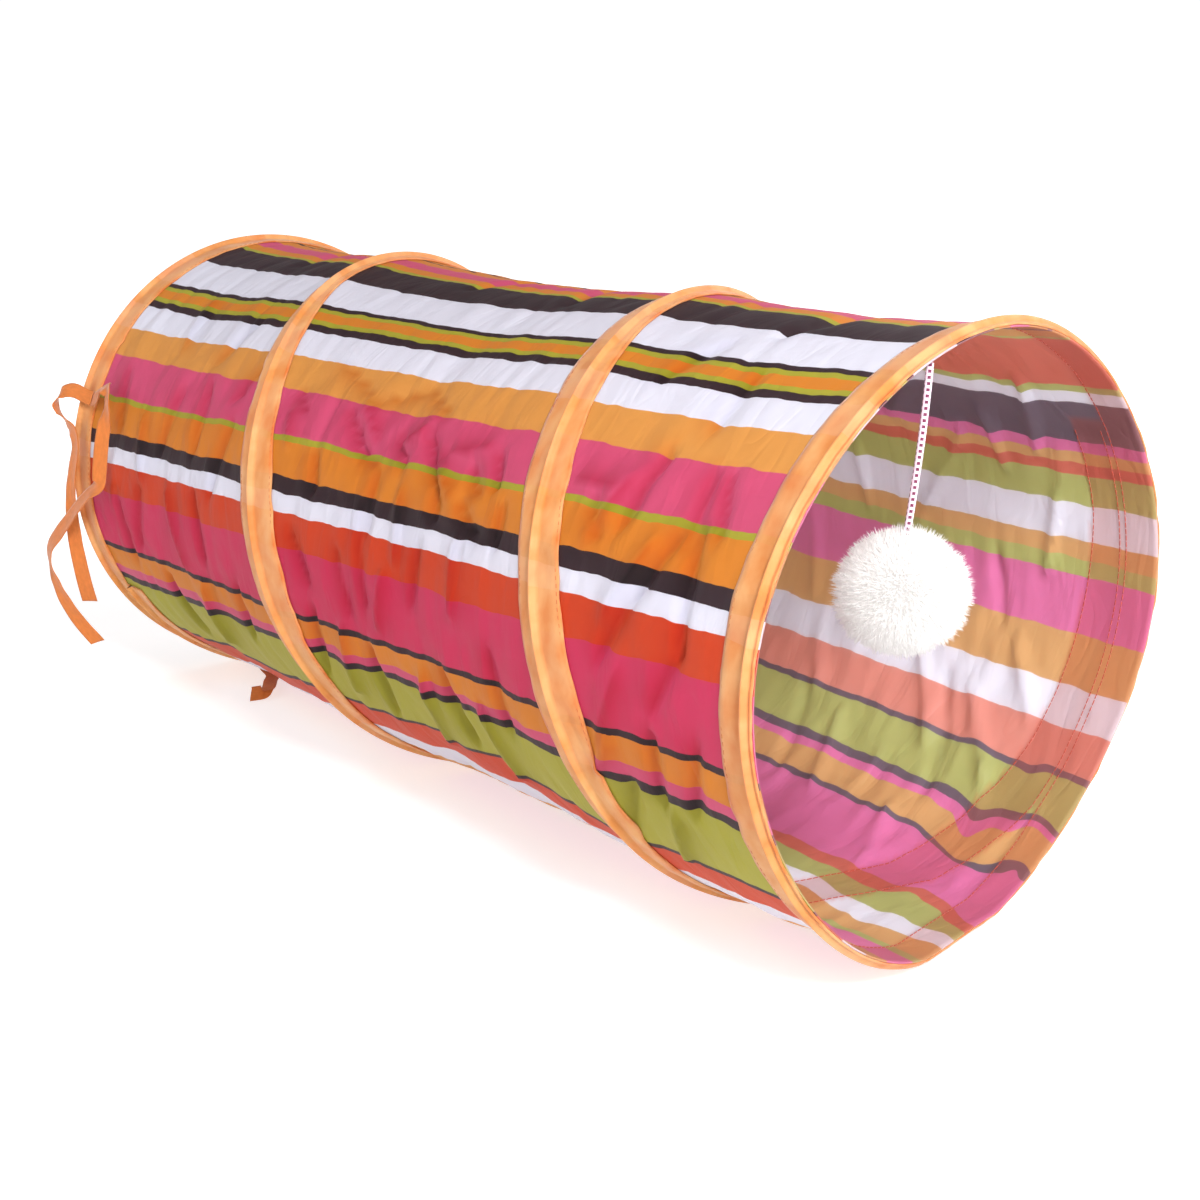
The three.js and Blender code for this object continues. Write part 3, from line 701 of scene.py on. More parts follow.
def skin(name, rows, is_ring, maps, face_slots=None):
    """A mesh through rows of points. Each row closes on itself, and the rows close on each
    other in a ring or get end faces. maps gives UV layers, each (rows + 1, points + 1, 2).
    Faces of slot 1 start one corner later, so that the diagonals of both sides match."""
    count, corners = rows.shape[:2]
    joins = count if is_ring else count - 1
    i, j = np.meshgrid(np.arange(joins), np.arange(corners), indexing="ij")
    k, n = (j + 1) % corners, (i + 1) % count
    quads = np.stack([i * corners + j, i * corners + k, n * corners + k, n * corners + j], -1)
    is_back = np.zeros(i.shape, bool) if face_slots is None else face_slots[i, j] == 1
    quads[is_back] = np.roll(quads[is_back], -1, axis=1)
    faces = quads.reshape(-1, 4).tolist()
    if not is_ring:
        faces.append(list(range(corners))[::-1])
        faces.append([(count - 1) * corners + c for c in range(corners)])
    piece = new_piece(name, rows.reshape(-1, 3), faces)
    mesh = piece.data
    for map_name, values in maps.items():
        layer = mesh.uv_layers.new(name=map_name)
        corner = np.stack([values[i, j], values[i, j + 1], values[i + 1, j + 1],
                           values[i + 1, j]], axis=2)
        corner[is_back] = np.roll(corner[is_back], -1, axis=1)
        flat = np.zeros((len(mesh.loops), 2))
        flat[:4 * joins * corners] = corner.reshape(-1, 2)
        layer.data.foreach_set("uv", flat.ravel())
    if face_slots is not None:
        mesh.polygons.foreach_set("material_index", face_slots[i, j].ravel())
    mesh.validate()
    mesh.update()
    return piece


def tube_map(angles, backs):
    """A UV layer with the angle as a share of the turn and the back as a share of the length."""
    return np.stack([angles / 360.0, backs / LENGTH], axis=-1)


# Shader nodes
class Wire:
    """An output of a shader node, with a number's arithmetic."""

    def __init__(self, tree, socket):
        self.tree = tree
        self.socket = socket

    def maths(self, operation, *others):
        made = self.tree.nodes.new("ShaderNodeMath")
        made.operation = operation
        for socket, value in zip(made.inputs, (self, *others)):
            feed(self.tree, socket, value)
        return Wire(self.tree, made.outputs[0])

    def __add__(self, other):
        return self.maths("ADD", other)

    def __sub__(self, other):
        return self.maths("SUBTRACT", other)

    def __mul__(self, other):
        return self.maths("MULTIPLY", other)


def feed(tree, socket, value):
    """Links a node's input to a wire, or sets it to a plain value."""
    if isinstance(value, Wire):
        tree.links.new(value.socket, socket)
    else:
        socket.default_value = value


def node(tree, kind, inputs, output=0, **settings):
    made = tree.nodes.new(kind)
    for key, value in settings.items():
        setattr(made, key, value)
    for key, value in inputs.items():
        feed(tree, made.inputs[key], value)
    return Wire(tree, made.outputs[output])


def new_material(name):
    material = bpy.data.materials.new(name)
    material.use_nodes = True
    material.node_tree.nodes.clear()
    return material, material.node_tree


def show(tree, shader):
    feed(tree, tree.nodes.new("ShaderNodeOutputMaterial").inputs[0], shader)


def mixed(tree, factor, first, second):
    return node(tree, "ShaderNodeMix", {0: factor, 6: first, 7: second}, 2, data_type="RGBA")


def uv_axes(tree, layer):
    found = node(tree, "ShaderNodeUVMap", {}, uv_map=layer)
    return [node(tree, "ShaderNodeSeparateXYZ", {0: found}, axis) for axis in (0, 1)]


def tube_lengths(tree):
    """Distances round and along the tube, in millimetres."""
    u, v = uv_axes(tree, "tube")
    return u * AROUND, v * LENGTH


def ramp(tree, factor, stops, interpolation="LINEAR"):
    """A ramp through stops of a position and a colour, or a number that stands for a grey."""
    made = tree.nodes.new("ShaderNodeValToRGB")
    feed(tree, made.inputs[0], factor)
    made.color_ramp.interpolation = interpolation
    elements = made.color_ramp.elements
    while len(elements) < len(stops):
        elements.new(1.0)
    for element, (position, value) in zip(elements, stops):
        element.position = position
        element.color = (value, value, value, 1.0) if isinstance(value, (int, float)) else value
    return Wire(tree, made.outputs[0])


def turn_ramp(tree, place, size, rows):
    """Degrees that change along a map, as shares of a turn."""
    lift = 10 / 360
    return ramp(tree, place, [(at / size, turn / 360 + lift) for at, turn in rows]) - lift


def noise(tree, x, y, **inputs):
    """Smooth noise at a place in a plane."""
    place = node(tree, "ShaderNodeCombineXYZ", {0: x, 1: y})
    return node(tree, "ShaderNodeTexNoise", {"Vector": place, "Scale": 1.0, **inputs})


def grain(tree, scale, detail):
    """Smooth noise all through a piece."""
    return node(tree, "ShaderNodeTexNoise", {"Scale": scale, "Detail": detail})


def half_stripes(first, last, palette):
    """Stops of the stripes between two angles, as shares of that half turn."""
    span = last - first
    stops = []
    for (start, colour), (end, _) in zip(STRIPES, STRIPES[1:] + [(360.0, None)]):
        if end > first and start < last:
            stops.append((max(start - first, 0.0) / span, linear(palette[colour])))
    return stops


def stripe_colour(tree, palette):
    """The stripes' colour from the tube map, with the twist and slightly uneven edges."""
    u, v = uv_axes(tree, "tube")
    share = ramp(tree, v, [(back / LENGTH, part) for back, part in MIDDLE_SHARE])
    shift = turn_ramp(tree, v, LENGTH, TWIST) + turn_ramp(tree, u, 360, MIDDLE_SHIFT) * share
    wobble = (noise(tree, u * 30.0, v * 26.0, Detail=2.0) - 0.5) * WOBBLE
    swirl = (noise(tree, u * 22.0, v * 16.0, Detail=1.0) - 0.5) * SWIRL
    here = ramp(tree, u, SWIRL_AROUND) * ramp(tree, v, SWIRL_ALONG)
    turned = (u - shift + wobble + swirl * here).maths("WRAP", 1.0, 0.0)
    near = ramp(tree, turned * 2.0, half_stripes(0, 180, palette), "CONSTANT")
    far = ramp(tree, turned * 2.0 - 1.0, half_stripes(180, 360, palette), "CONSTANT")
    return mixed(tree, turned.maths("GREATER_THAN", 0.5), near, far)


def bump(tree, strength, distance, height, **under):
    return node(tree, "ShaderNodeBump", {
        "Strength": strength, "Distance": distance, "Height": height, **under})


def woven(x, y, pitch):
    """Height of a plain weave with threads a pitch apart. x and y are in the pitch's unit."""
    turn = 2 * math.pi / pitch
    return (x * turn).maths("SINE") * (y * turn).maths("SINE")


def cloth_shader(tree, colour, normal, share, roughness, sheen):
    """Cloth that lets a share of the light through. The colour is paler on the way through,
    because light passes the sheet's two faces one after the other."""
    surface = node(tree, "ShaderNodeBsdfPrincipled", {
        "Base Color": colour, "Roughness": roughness, "Normal": normal,
        "Specular IOR Level": CLOTH_SPECULAR, "Sheen Weight": sheen, "Sheen Roughness": 0.4})
    paler = node(tree, "ShaderNodeGamma", {0: colour, 1: THROUGH_GAMMA})
    through = node(tree, "ShaderNodeBsdfTranslucent", {"Color": paler, "Normal": normal})
    show(tree, node(tree, "ShaderNodeMixShader", {0: share, 1: surface, 2: through}))


def cloth_normal(tree):
    """Fine crinkles and the weave of the thin cloth."""
    around, along = tube_lengths(tree)
    fine = bump(tree, 0.12, 0.00008, woven(around, along, CLOTH_WEAVE))
    crumple = noise(tree, around * 0.024, along * 0.075, Detail=2.5, Roughness=0.45,
                    Distortion=0.8)
    return bump(tree, 0.30, 0.0040, (crumple - 0.5).maths("ABSOLUTE"), Normal=fine)


def outside_material():
    material, tree = new_material("striped_cloth_outside")
    printed = stripe_colour(tree, OUTSIDE)
    # Painted shade beside the creases: darker where the 'tape' map's second value is high
    shaded = node(tree, "ShaderNodeGamma", {0: printed, 1: CREASE_SHADE_GAMMA})
    _, crease_shade = uv_axes(tree, "tape")
    colour = mixed(tree, crease_shade * CREASE_SHADE_AMOUNT, printed, shaded)
    cloth_shader(tree, colour, cloth_normal(tree), *OUTSIDE_LOOK)
    return material


def inside_material():
    material, tree = new_material("striped_cloth_inside")
    # Painted shade of the tapes: where a tape lies outside, the inside turns towards a darker
    # red-orange
    cover, _ = uv_axes(tree, "tape")
    tape_shaded = mixed(tree, cover * TAPE_SHADE_INSIDE, stripe_colour(tree, INSIDE),
                   linear(COLOURS["tape_shade_inside"]))
    cloth_shader(tree, tape_shaded, cloth_normal(tree), *INSIDE_LOOK)
    return material


def tape_material():
    material, tree = new_material("casing_tape")
    beneath = stripe_colour(tree, OUTSIDE)
    colour = mixed(tree, TAPE_BENEATH, linear(COLOURS["tape"]), beneath)
    _, across = uv_axes(tree, "strip")
    hem = ramp(tree, (across - 0.5).maths("ABSOLUTE"), TAPE_HEM)
    colour = mixed(tree, hem, colour, linear(COLOURS["tape_edge"]))
    _, back = uv_axes(tree, "tube")
    # Painted shade: the tape darker near the mouth
    colour = mixed(tree, ramp(tree, back, MOUTH_TAPE_SHADE), colour,
                   linear(COLOURS["mouth_tape_shade"]))
    around, along = tube_lengths(tree)
    # Painted highlight: the tape paler where the noise raises its puckers, the same noise as in
    # the bump
    pucker_height = noise(tree, around * 0.07, along * 0.10, Detail=3.0)
    highlight = ramp(tree, pucker_height, [(0.35, 0.0), (0.70, 0.7)])
    colour = mixed(tree, highlight, colour, linear(COLOURS["tape_highlight"]))
    weave = bump(tree, 0.15, 0.00008, woven(around, along, TAPE_WEAVE))
    cloth_shader(tree, colour, bump(tree, 0.4, 0.0008, pucker_height, Normal=weave), *TAPE_LOOK)
    return material


def ribbon_material():
    """Narrow woven satin with a slight unevenness."""
    material, tree = new_material("tie_ribbon")
    x, y = uv_axes(tree, "strip")
    rib = (x * (2 * math.pi / RIBBON_RIB)).maths("SINE")
    darker = tuple(c * 0.82 for c in COLOURS["ribbon"])
    shade = mixed(tree, noise(tree, x * 0.25, y * 0.6), linear(darker), linear(COLOURS["ribbon"]))
    cloth_shader(tree, shade, bump(tree, 0.25, 0.0001, rib), *RIBBON_LOOK)
    return material


def thread_material(name, colour):
    material, tree = new_material(name)
    darker = tuple(c * 0.75 for c in colour)
    shade = mixed(tree, grain(tree, 900.0, 2.0), linear(darker), linear(colour))
    show(tree, node(tree, "ShaderNodeBsdfPrincipled", {
        "Base Color": shade, "Roughness": 0.5, "Sheen Weight": 0.3}))
    return material


def cord_material():
    """Rows of flecks round the cord, each row half a pitch on from the next."""
    material, tree = new_material("braided_cord")
    around, along = uv_axes(tree, "strip")
    row = around * 4.0
    step = along.maths("DIVIDE", FLECK_PITCH) + row.maths("FLOOR") * 0.5
    is_step = step.maths("FRACT").maths("LESS_THAN", 0.52)
    is_row = (row.maths("FRACT") - 0.5).maths("ABSOLUTE").maths("LESS_THAN", 0.30)
    colour = mixed(tree, is_step * is_row, linear(COLOURS["cord"]), linear(COLOURS["fleck"]))
    show(tree, node(tree, "ShaderNodeBsdfPrincipled", {
        "Base Color": colour, "Roughness": 0.6, "Sheen Weight": 0.3}))
    return material


def pompom_material():
    material, tree = new_material("pompom_yarn")
    colour = mixed(tree, grain(tree, 160.0, 2.0), linear(COLOURS["pompom_dark"]),
                   linear(COLOURS["pompom"]))
    surface = node(tree, "ShaderNodeBsdfPrincipled", {
        "Base Color": colour, "Roughness": 0.85, "Sheen Weight": 0.5})
    through = node(tree, "ShaderNodeBsdfTranslucent", {"Color": colour})
    both = node(tree, "ShaderNodeMixShader", {0: 0.4, 1: surface, 2: through})
    glow = node(tree, "ShaderNodeEmission", {"Color": colour, "Strength": POMPOM_GLOW})
    show(tree, node(tree, "ShaderNodeAddShader", {0: both, 1: glow}))
    return material


def steel_material():
    material, tree = new_material("spring_steel")
    show(tree, node(tree, "ShaderNodeBsdfPrincipled", {
        "Base Color": linear(COLOURS["steel"]), "Metallic": 1.0,
        "Roughness": grain(tree, 400.0, 3.0) * 0.2 + 0.25}))
    return material


def settle(piece, materials, slot, *nodes):
    """Gives a piece its materials and the part's nodes that it stands for; the slot is not used.
    """
    for material in materials:
        piece.data.materials.append(material)
    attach(piece, "root")
    if nodes:
        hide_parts(*nodes)
    return piece


def eased_path(points, per_point):
    """Points on a centripetal Catmull-Rom curve through the given ones."""
    points = np.array(points, float)
    first = 2 * points[0] - points[1]
    last = 2 * points[-1] - points[-2]
    padded = np.vstack([first, points, last])
    found = []
    for i in range(1, len(padded) - 2):
        p0, p1, p2, p3 = padded[i - 1:i + 3]
        t0 = 0.0
        t1 = t0 + np.linalg.norm(p1 - p0) ** 0.5
        t2 = t1 + np.linalg.norm(p2 - p1) ** 0.5
        t3 = t2 + np.linalg.norm(p3 - p2) ** 0.5
        steps = per_point + (1 if i == len(padded) - 3 else 0)
        for t in np.arange(steps) / per_point * (t2 - t1) + t1:
            a1 = (t1 - t) / (t1 - t0) * p0 + (t - t0) / (t1 - t0) * p1
            a2 = (t2 - t) / (t2 - t1) * p1 + (t - t1) / (t2 - t1) * p2
            a3 = (t3 - t) / (t3 - t2) * p2 + (t - t2) / (t3 - t2) * p3
            b1 = (t2 - t) / (t2 - t0) * a1 + (t - t0) / (t2 - t0) * a2
            b2 = (t3 - t) / (t3 - t1) * a2 + (t - t1) / (t3 - t1) * a3
            found.append((t2 - t) / (t2 - t1) * b1 + (t - t1) / (t2 - t1) * b2)
    return np.array(found)


def run_along(path):
    """Distance from the start at each point of a path."""
    return np.concatenate([[0], np.cumsum(np.linalg.norm(np.diff(path, axis=0), axis=1))])


def unit(v):
    return v / np.linalg.norm(v, axis=-1, keepdims=True)


def make_ribbon(name, table, material, seed):
    """A fine ribbon along its table's points, with a slight cup and a slanted cut end."""
    per_point = 10
    across_points = 9
    table = np.array(table, float)
    path = eased_path(table[:, :3], per_point)
    azimuth, elevation = np.radians(table[:, 3]), np.radians(table[:, 4])
    faces = np.stack([np.cos(elevation) * np.cos(azimuth), np.cos(elevation) * np.sin(azimuth),
                      np.sin(elevation)], axis=-1)
    place = np.arange(len(path)) / per_point
    index = np.minimum(place.astype(int), len(table) - 2)
    share = smooth_step(place - index)[:, None]
    facing = unit(faces[index] * (1 - share) + faces[index + 1] * share)
    tangent = unit(np.gradient(path, axis=0))
    across = unit(np.cross(facing, tangent))
    out = unit(np.cross(tangent, across))
    distance = run_along(path)
    side = np.linspace(-0.5, 0.5, across_points)
    wobble = soft_noise(distance, distance * 0, 9, 9, 900, seed) * 0.35
    cup = 0.5 * (4 * side ** 2 - 0.5)
    rise = cup[None, :] * (0.6 + wobble[:, None]) + wobble[:, None] * side[None, :]
    slant = np.zeros(len(path))
    slant[-1] = RIBBON_SLANT
    middle = path[:, None, :] + across[:, None, :] * side[None, :, None] * RIBBON_WIDTH
    middle = middle + tangent[:, None, :] * (slant[:, None] * side[None, :])[..., None]
    half = RIBBON_THICKNESS / 2
    upper = middle + out[:, None, :] * (rise + half)[..., None]
    lower = middle + out[:, None, :] * (rise - half)[..., None]
    rows = np.concatenate([upper, lower[:, ::-1]], axis=1)[:, ::-1]
    v = np.concatenate([side, side[::-1]])[::-1] * RIBBON_WIDTH
    v = np.append(v, v[0])
    strip = np.stack(np.broadcast_arrays(distance[:, None], v[None, :]), axis=-1)
    piece = skin(name, rows, False, {"strip": strip})
    settle(piece, [material], "tie_ribbon", name.replace("_ribbon", ""))
    return piece


def make_cord(material):
    """The braided cord as one tube whose strands stand out a little."""
    per_point = 40
    sides = 16
    path = eased_path(CORD_ROUTE, per_point)
    tangent = unit(np.gradient(path, axis=0))
    u = unit(np.cross(np.cross(tangent, [1.0, 0.0, 0.0]), tangent))
    v = np.cross(tangent, u)
    distance = run_along(path)
    turn = np.linspace(0, 2 * math.pi, sides + 1)[:-1]
    pitch = 2 * math.pi * distance / (2 * FLECK_PITCH)
    braid = 0.10 * np.sin(4 * turn[None, :] + pitch[:, None] * 2)
    braid = braid * np.sin(4 * turn[None, :] - pitch[:, None] * 2)
    radius = CORD_DIAMETER / 2 * (0.94 + braid)
    ring = (u[:, None, :] * np.cos(turn)[None, :, None]
            + v[:, None, :] * np.sin(turn)[None, :, None])
    rows = path[:, None, :] + ring * radius[..., None]
    share = np.linspace(0, 1, sides + 1)
    strip = np.stack(np.broadcast_arrays(share[None, :], distance[:, None]), axis=-1)
    piece = skin("pompom_cord_braid", rows, False, {"strip": strip})
    settle(piece, [material], "braided_cord", "pompom_cord")
    return piece


def make_pompom(material):
    """A core with thousands of short fibres, all in one mesh."""
    rng = np.random.default_rng(31)
    steps = 24
    polar, turn = np.meshgrid(np.linspace(0, math.pi, steps)[1:-1],
                              np.linspace(0, 2 * math.pi, 2 * steps + 1)[:-1], indexing="ij")
    ball = np.stack([np.sin(polar) * np.cos(turn), np.sin(polar) * np.sin(turn),
                     np.cos(polar)], axis=-1) * POMPOM_CORE
    rings, around = ball.shape[:2]
    points = [ball.reshape(-1, 3), np.array([[0, 0, POMPOM_CORE], [0, 0, -POMPOM_CORE]])]
    top, bottom = rings * around, rings * around + 1
    faces = []
    for j in range(around):
        k = (j + 1) % around
        faces.append([top, j, k])
        faces.append([bottom, (rings - 1) * around + k, (rings - 1) * around + j])
        for i in range(rings - 1):
            faces.append([i * around + j, (i + 1) * around + j,
                          (i + 1) * around + k, i * around + k])
    n = np.arange(FIBRE_COUNT)
    z = 1 - 2 * (n + 0.5) / FIBRE_COUNT
    golden = n * math.pi * (3 - math.sqrt(5))
    flat = np.sqrt(1 - z * z)
    way = np.stack([flat * np.cos(golden), flat * np.sin(golden), z], axis=-1)
    way = unit(way + rng.normal(0, 0.02, way.shape))
    centres = unit(rng.normal(0, 1, (CLUMP_COUNT, 3)))
    nearest = np.argmax(way @ centres.T, axis=1)
    lean = unit(way + 0.18 * (centres[nearest] - way) + rng.normal(0, 0.11, way.shape))
    share = rng.uniform(0.84, 1.0, FIBRE_COUNT) + rng.normal(0, 0.022, CLUMP_COUNT)[nearest]
    length = (POMPOM_REACH * np.minimum(share, 1.03) - POMPOM_CORE)[:, None]
    root = way * (POMPOM_CORE - 0.8)
    middle = root + unit(way + lean) * length * 0.5
    tip = middle + unit(lean + rng.normal(0, 0.16, way.shape)) * length * 0.62
    side = unit(np.cross(lean, rng.normal(0, 1, way.shape)))
    other = np.cross(lean, side)
    start = sum(len(p) for p in points)
    spin = [2 * math.pi * k / 3 for k in range(3)]
    foot = [root + FIBRE_RADIUS * (side * math.cos(s) + other * math.sin(s)) for s in spin]
    waist = [middle + 0.8 * FIBRE_RADIUS * (side * math.cos(s) + other * math.sin(s))
             for s in spin]
    points.append(np.stack(foot + waist + [tip], axis=1).reshape(-1, 3))
    base = start + 7 * n
    for a, b in ((0, 1), (1, 2), (2, 0)):
        faces.extend(np.stack([base + a, base + b, base + 3 + b, base + 3 + a], -1).tolist())
        faces.extend(np.stack([base + 3 + a, base + 3 + b, base + 6], -1).tolist())
    faces.extend(np.stack([base, base + 2, base + 1], -1).tolist())
    placed = np.vstack(points) * [1, 1, POMPOM_SQUASH] + POMPOM_CENTRE
    piece = new_piece("pompom_pile", placed, faces)
    return settle(piece, [material], "pompom_yarn", "pompom")


def tape_cover(back, angle):
    """1 where a tape lies on the outside of the cloth, 0 elsewhere."""
    cover = (back < mouth_tape_rear(angle)) | (back > rear_tape_front(angle))
    for a, is_there in spiral_laps(angle):
        offset = back - spiral_wire(a)
        is_within = (offset > -spiral_value(2, a)) & (offset < spiral_value(3, a))
        cover = cover | (is_within & is_there)
    return cover * 1.0


def make_cloth(outside, inside):
    """The cloth tube: outside from the mouth back, and inside forward again."""
    angles = np.arange(CLOTH_AROUND) * 360.0 / CLOTH_AROUND
    share = np.linspace(0, 1, CLOTH_ALONG + 1)
    angle = angles[:, None]
    back = mouth_edge(angle) + (rear_edge(angle) - mouth_edge(angle)) * share[None, :]
    outer = on_tube(back, angle, CLOTH_HALF)
    inner = on_tube(back, angle, -CLOTH_HALF)
    rows = np.concatenate([outer, inner[:, ::-1]], axis=1)
    backs = np.concatenate([back, back[:, ::-1], back[:, :1]], axis=1)
    backs = np.vstack([backs, backs[:1]])
    turns = np.append(angles, 360.0)[:, None] + backs * 0
    cover = tape_cover(backs, turns)
    # The 'tape' map carries the tape cover and the painted shade beside the creases
    shade = painted_crease_shade(backs, turns)
    maps = {"tube": tube_map(turns, backs), "tape": np.stack([cover, shade], axis=-1)}
    slots = np.ones((CLOTH_AROUND, rows.shape[1]), int)
    slots[:, :CLOTH_ALONG] = 0
    piece = skin("cloth_tube", rows, True, maps, face_slots=slots)
    settle(piece, [outside, inside], "striped_cloth", "tunnel_cloth")
    return piece


def tape_rows(angles, wire, front, rear, seed):
    """Rows of a tape's section: a flat strip with rolled edges and a bead over the wire."""
    angle = angles[:, None]
    flat = np.linspace(0, 1, FLAT_POINTS)[None, :]
    front_foot = np.minimum(BEAD_FOOT, front * 0.6)[:, None]
    rear_foot = np.minimum(BEAD_FOOT, rear * 0.6)[:, None]
    bead = np.linspace(-1, 1, BEAD_POINTS + 2)[None, 1:-1]
    front_part = -front[:, None] + (front[:, None] - front_foot) * flat
    rear_part = rear_foot + (rear[:, None] - rear_foot) * flat
    bead_part = np.where(bead < 0, bead * front_foot, bead * rear_foot)
    offset = np.concatenate([front_part, bead_part, rear_part], axis=1)
    rise = np.zeros_like(offset)
    rise[:, FLAT_POINTS:FLAT_POINTS + BEAD_POINTS] = np.cos(bead * math.pi / 2) ** 0.9
    around = np.radians(angle) * RADIUS
    edge = np.minimum(offset + front[:, None], rear[:, None] - offset)
    pucker = soft_noise(around, offset, 5.5, 9.0, AROUND, seed)
    ruffle = soft_noise(around, offset, 17.0, 14.0, AROUND, seed + 1)
    puffed = (0.30 * pucker + 0.28 * ruffle + 0.32) * smooth_step(edge / 3.0) * (1 - rise)
    roll = EDGE_ROLL * np.exp(-((edge - 0.9) / EDGE_ROLL_WIDTH) ** 2)
    tuck = -0.45 * np.exp(-((edge - STITCH_INSET - 0.2) / 0.6) ** 2)
    flat_top = TAPE_TOP + puffed + roll + tuck
    top = flat_top * (1 - rise) + BEAD_TOP * rise
    under = TAPE_UNDERSIDE * (1 - rise) + (BEAD_TOP - BEAD_SKIN) * rise
    top = np.where(edge < 0.01, TAPE_UNDERSIDE + 0.5, top)
    scallop = 0.35 * soft_noise(around, offset * 0, 6.5, 9.0, AROUND, seed + 2)
    offset = offset + scallop * np.exp(-(edge / 2.0) ** 2) * np.sign(offset)
    back = wire[:, None] + offset
    upper = on_tube(back, angle, np.minimum(top, BEAD_TOP))
    lower = on_tube(back, angle, under)
    rows = np.concatenate([upper, lower[:, ::-1]], axis=1)
    backs = np.concatenate([back, back[:, ::-1], back[:, :1]], axis=1)
    share = (offset + front[:, None]) / (front + rear)[:, None]
    shares = np.concatenate([share, share[:, ::-1], share[:, :1]], axis=1)
    return rows, backs, shares


def make_tape(name, cad_node, angles, wire, front, rear, is_ring, material, seed):
    rows, backs, shares = tape_rows(angles, wire, front, rear, seed)
    turns = angles
    if is_ring:
        turns = np.append(angles, 360.0)
        backs = np.vstack([backs, backs[:1]])
        shares = np.vstack([shares, shares[:1]])
    turn = turns[:, None] + backs * 0
    strip = np.stack([np.radians(turn) * RADIUS, shares], axis=-1)
    maps = {"tube": tube_map(turn, backs), "strip": strip}
    piece = skin(name, rows, is_ring, maps)
    return settle(piece, [material], "casing_tape", cad_node)


def spiral_widths(angles):
    wire = spiral_wire(angles)
    front_room = wire - mouth_tape_rear(angles) - TAPE_EDGE_GAP
    rear_room = rear_tape_front(angles) - TAPE_EDGE_GAP - wire
    front = np.minimum(spiral_value(2, angles), front_room)
    rear = np.minimum(spiral_value(3, angles), rear_room)
    return wire, front, rear


def make_tapes(material):
    angles = np.arange(0.0, 360.0, TAPE_STEP)
    short = np.full_like(angles, RING_WIRE_INSET)
    long = RING_TAPE_WIDTH - short
    make_tape("mouth_tape", "tape_mouth_ring", angles, mouth_edge(angles) + RING_WIRE_INSET,
              short, long, True, material, 41)
    make_tape("rear_tape", "tape_rear_ring", angles, rear_edge(angles) - RING_WIRE_INSET,
              long, short, True, material, 51)
    count = int(round((SPIRAL_TO - SPIRAL_FROM) / TAPE_STEP))
    angles = SPIRAL_FROM + np.arange(count + 1) * TAPE_STEP
    wire, front, rear = spiral_widths(angles)
    make_tape("spiral_tape", "tape_spiral", angles, wire, front, rear, False, material, 61)


def stitch_lines():
    """The sewn lines: for each, angles and backs along it."""
    ring = np.arange(0.0, 360.0, 0.5)
    lines = [
        (ring, mouth_edge(ring) + RING_TAPE_WIDTH - STITCH_INSET),
        (ring, rear_edge(ring) - RING_TAPE_WIDTH + STITCH_INSET),
    ]
    spiral = np.arange(SPIRAL_FROM + 1.0, SPIRAL_TO - 1.0, 0.5)
    wire, front, rear = spiral_widths(spiral)
    lines.append((spiral, wire - front + STITCH_INSET))
    lines.append((spiral, wire + rear - STITCH_INSET))
    return lines


def make_stitches(name, height, length, material, slot):
    """Short spindles of thread, one after another along every sewn line."""
    sides = 5
    points, faces = [], []
    for angles, backs in stitch_lines():
        centre = on_tube(backs, angles, height)
        run = run_along(centre)
        starts = np.arange(0.0, run[-1] - length, STITCH_PITCH)
        for start in starts:
            ends = [np.array([np.interp(start + s, run, centre[:, c]) for c in range(3)])
                    for s in (0.0, length)]
            tangent = unit(ends[1] - ends[0])
            outward = unit(ends[0] * [0, 1, 1] - [0, 0, AXIS_HEIGHT])
            across = unit(np.cross(tangent, outward))
            outward = np.cross(across, tangent)
            base = len(points)
            points.append(ends[0])
            for share in (0.2, 0.8):
                middle = ends[0] * (1 - share) + ends[1] * share
                for k in range(sides):
                    a = 2 * math.pi * k / sides
                    points.append(middle + STITCH_RADIUS * (across * math.cos(a)
                                                            + outward * math.sin(a)))
            points.append(ends[1])
            last = base + 1 + 2 * sides
            for k in range(sides):
                n = (k + 1) % sides
                faces.append([base, base + 1 + n, base + 1 + k])
                faces.append([base + 1 + k, base + 1 + n, base + 1 + sides + n,
                              base + 1 + sides + k])
                faces.append([base + 1 + sides + k, base + 1 + sides + n, last])
    return settle(new_piece(name, points, faces), [material], slot)


def make_floor():
    half = FLOOR_HALF
    corners = [(-half, -half, 0), (half, -half, 0), (half, half, 0), (-half, half, 0)]
    floor = new_piece("floor", corners, [(0, 1, 2, 3)])
    material, tree = new_material("floor")
    surface = node(tree, "ShaderNodeBsdfPrincipled", {
        "Base Color": linear(COLOURS["floor"]), "Roughness": 0.9, "Specular IOR Level": 0.1})
    place = node(tree, "ShaderNodeTexCoord", {}, "Object")
    away = node(tree, "ShaderNodeVectorMath", {0: place}, "Value", operation="LENGTH")
    glow = node(tree, "ShaderNodeMapRange", {
        0: away, 1: GLOW_FROM, 2: GLOW_TO, 3: GLOW_NEAR, 4: GLOW_FAR})
    light = node(tree, "ShaderNodeEmission", {"Color": (1, 1, 1, 1), "Strength": glow})
    show(tree, node(tree, "ShaderNodeAddShader", {0: surface, 1: light}))
    floor.data.materials.append(material)


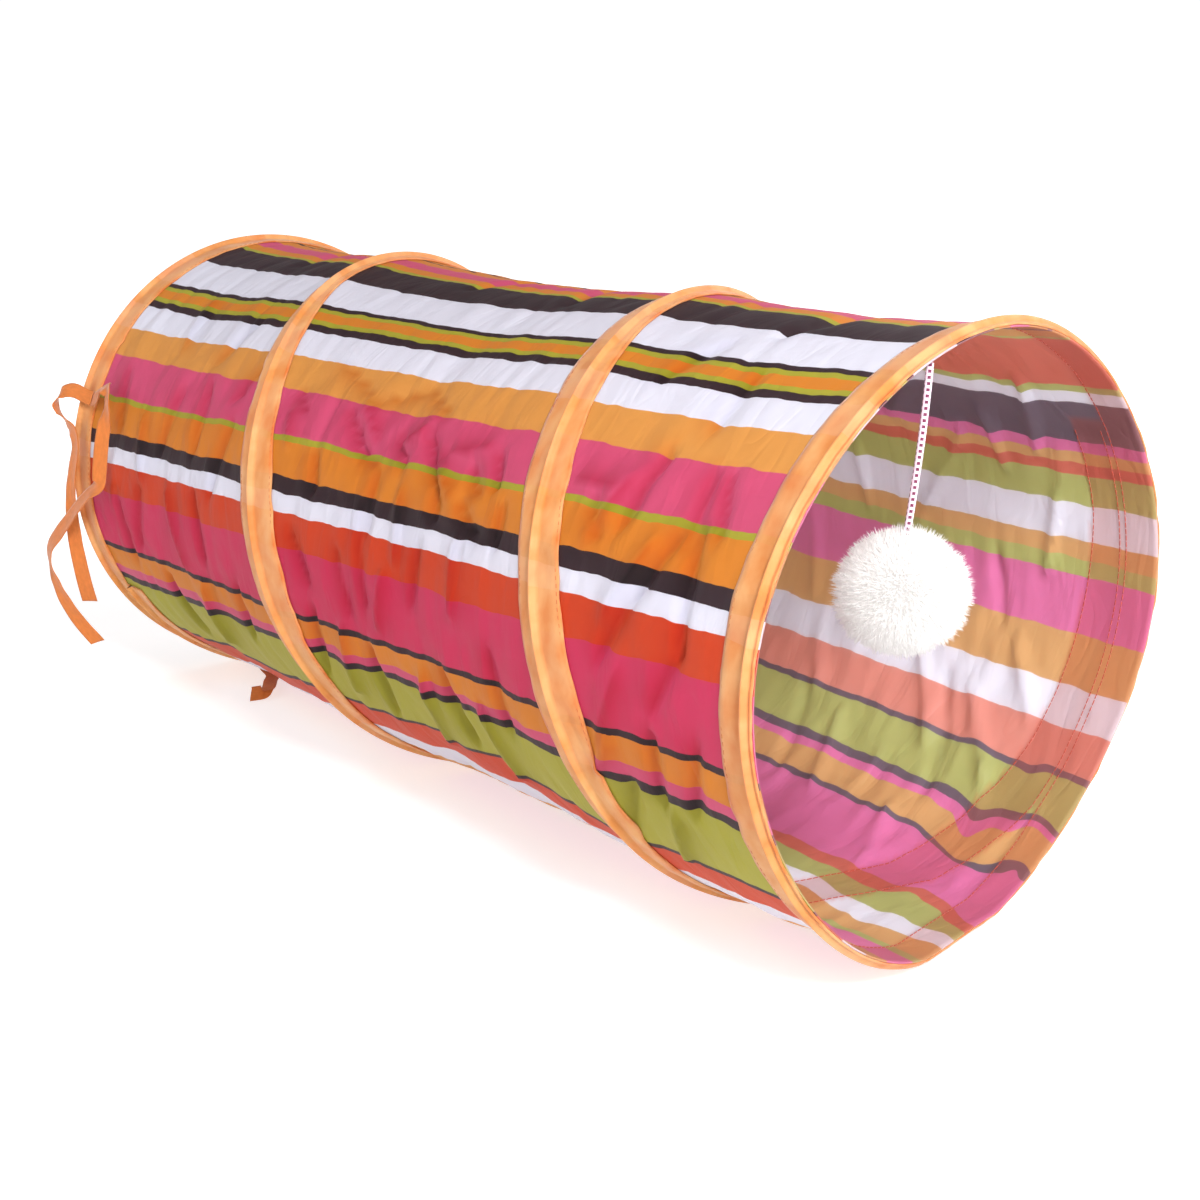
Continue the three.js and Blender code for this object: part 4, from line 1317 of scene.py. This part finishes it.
def add_light(name, place, target, size, power):
    data = bpy.data.lights.new(name, "AREA")
    data.shape = "DISK"
    data.size = size
    data.energy = power
    light = bpy.data.objects.new(name, data)
    bpy.context.scene.collection.objects.link(light)
    light.location = place
    light.rotation_mode = "QUATERNION"
    light.rotation_quaternion = (Vector(target) - Vector(place)).to_track_quat("-Z", "Y")


def make_lights():
    world = bpy.data.worlds.new("studio")
    bpy.context.scene.world = world
    world.use_nodes = True
    tree = world.node_tree
    way = node(tree, "ShaderNodeTexCoord", {}, "Generated")
    rise = node(tree, "ShaderNodeSeparateXYZ", {0: way}, 2)
    strength = node(tree, "ShaderNodeMapRange", {
        0: rise, 1: WORLD_FROM, 2: WORLD_TO, 3: WORLD_LOW, 4: WORLD_HIGH})
    background = tree.nodes["Background"]
    feed(tree, background.inputs[0], (1.0, 1.0, 1.0, 1.0))
    feed(tree, background.inputs[1], strength)
    middle = (0.0, 0.0, 0.12)
    add_light("key", (1.15, -0.52, 1.15), (0.05, 0.0, 0.12), 0.40, 25.0)
    add_light("fill", (-0.5, -1.4, 0.9), middle, 1.0, 4.0)
    add_light("mouth", (1.3, -0.2, 0.45), (0.2, 0.0, 0.13), 0.6, 6.0)
    add_light("back", (-0.2, 1.5, 0.9), middle, 1.2, 14.0)


make_camera()
ribbon = ribbon_material()
pompom = make_pompom(pompom_material())
make_cord(cord_material())
for index, (tie_name, table) in enumerate(
        (("tie_loop_tail", TIE_LOOP), ("tie_long_tail", TIE_LONG), ("tie_floor_tail", TIE_FLOOR))):
    make_ribbon(tie_name + "_ribbon", table, ribbon, 70 + index)
make_cloth(outside_material(), inside_material())
make_tapes(tape_material())
make_stitches("tape_stitches", TAPE_TOP - 0.15, STITCH_LENGTH,
              thread_material("tape_thread", COLOURS["thread"]), "casing_tape")
make_stitches("seam_stitches", -CLOTH_HALF - 0.12, SEAM_STITCH_LENGTH,
              thread_material("seam_thread", COLOURS["seam_thread"]), "casing_tape")
steel = steel_material()
for wire_node in ("wire_mouth_ring", "wire_spiral", "wire_rear_ring"):
    wire_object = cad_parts[wire_node]
    wire_object.data.materials.clear()
    wire_object.data.materials.append(steel)
make_floor()
make_lights()
bpy.context.scene.view_settings.view_transform = "Standard"
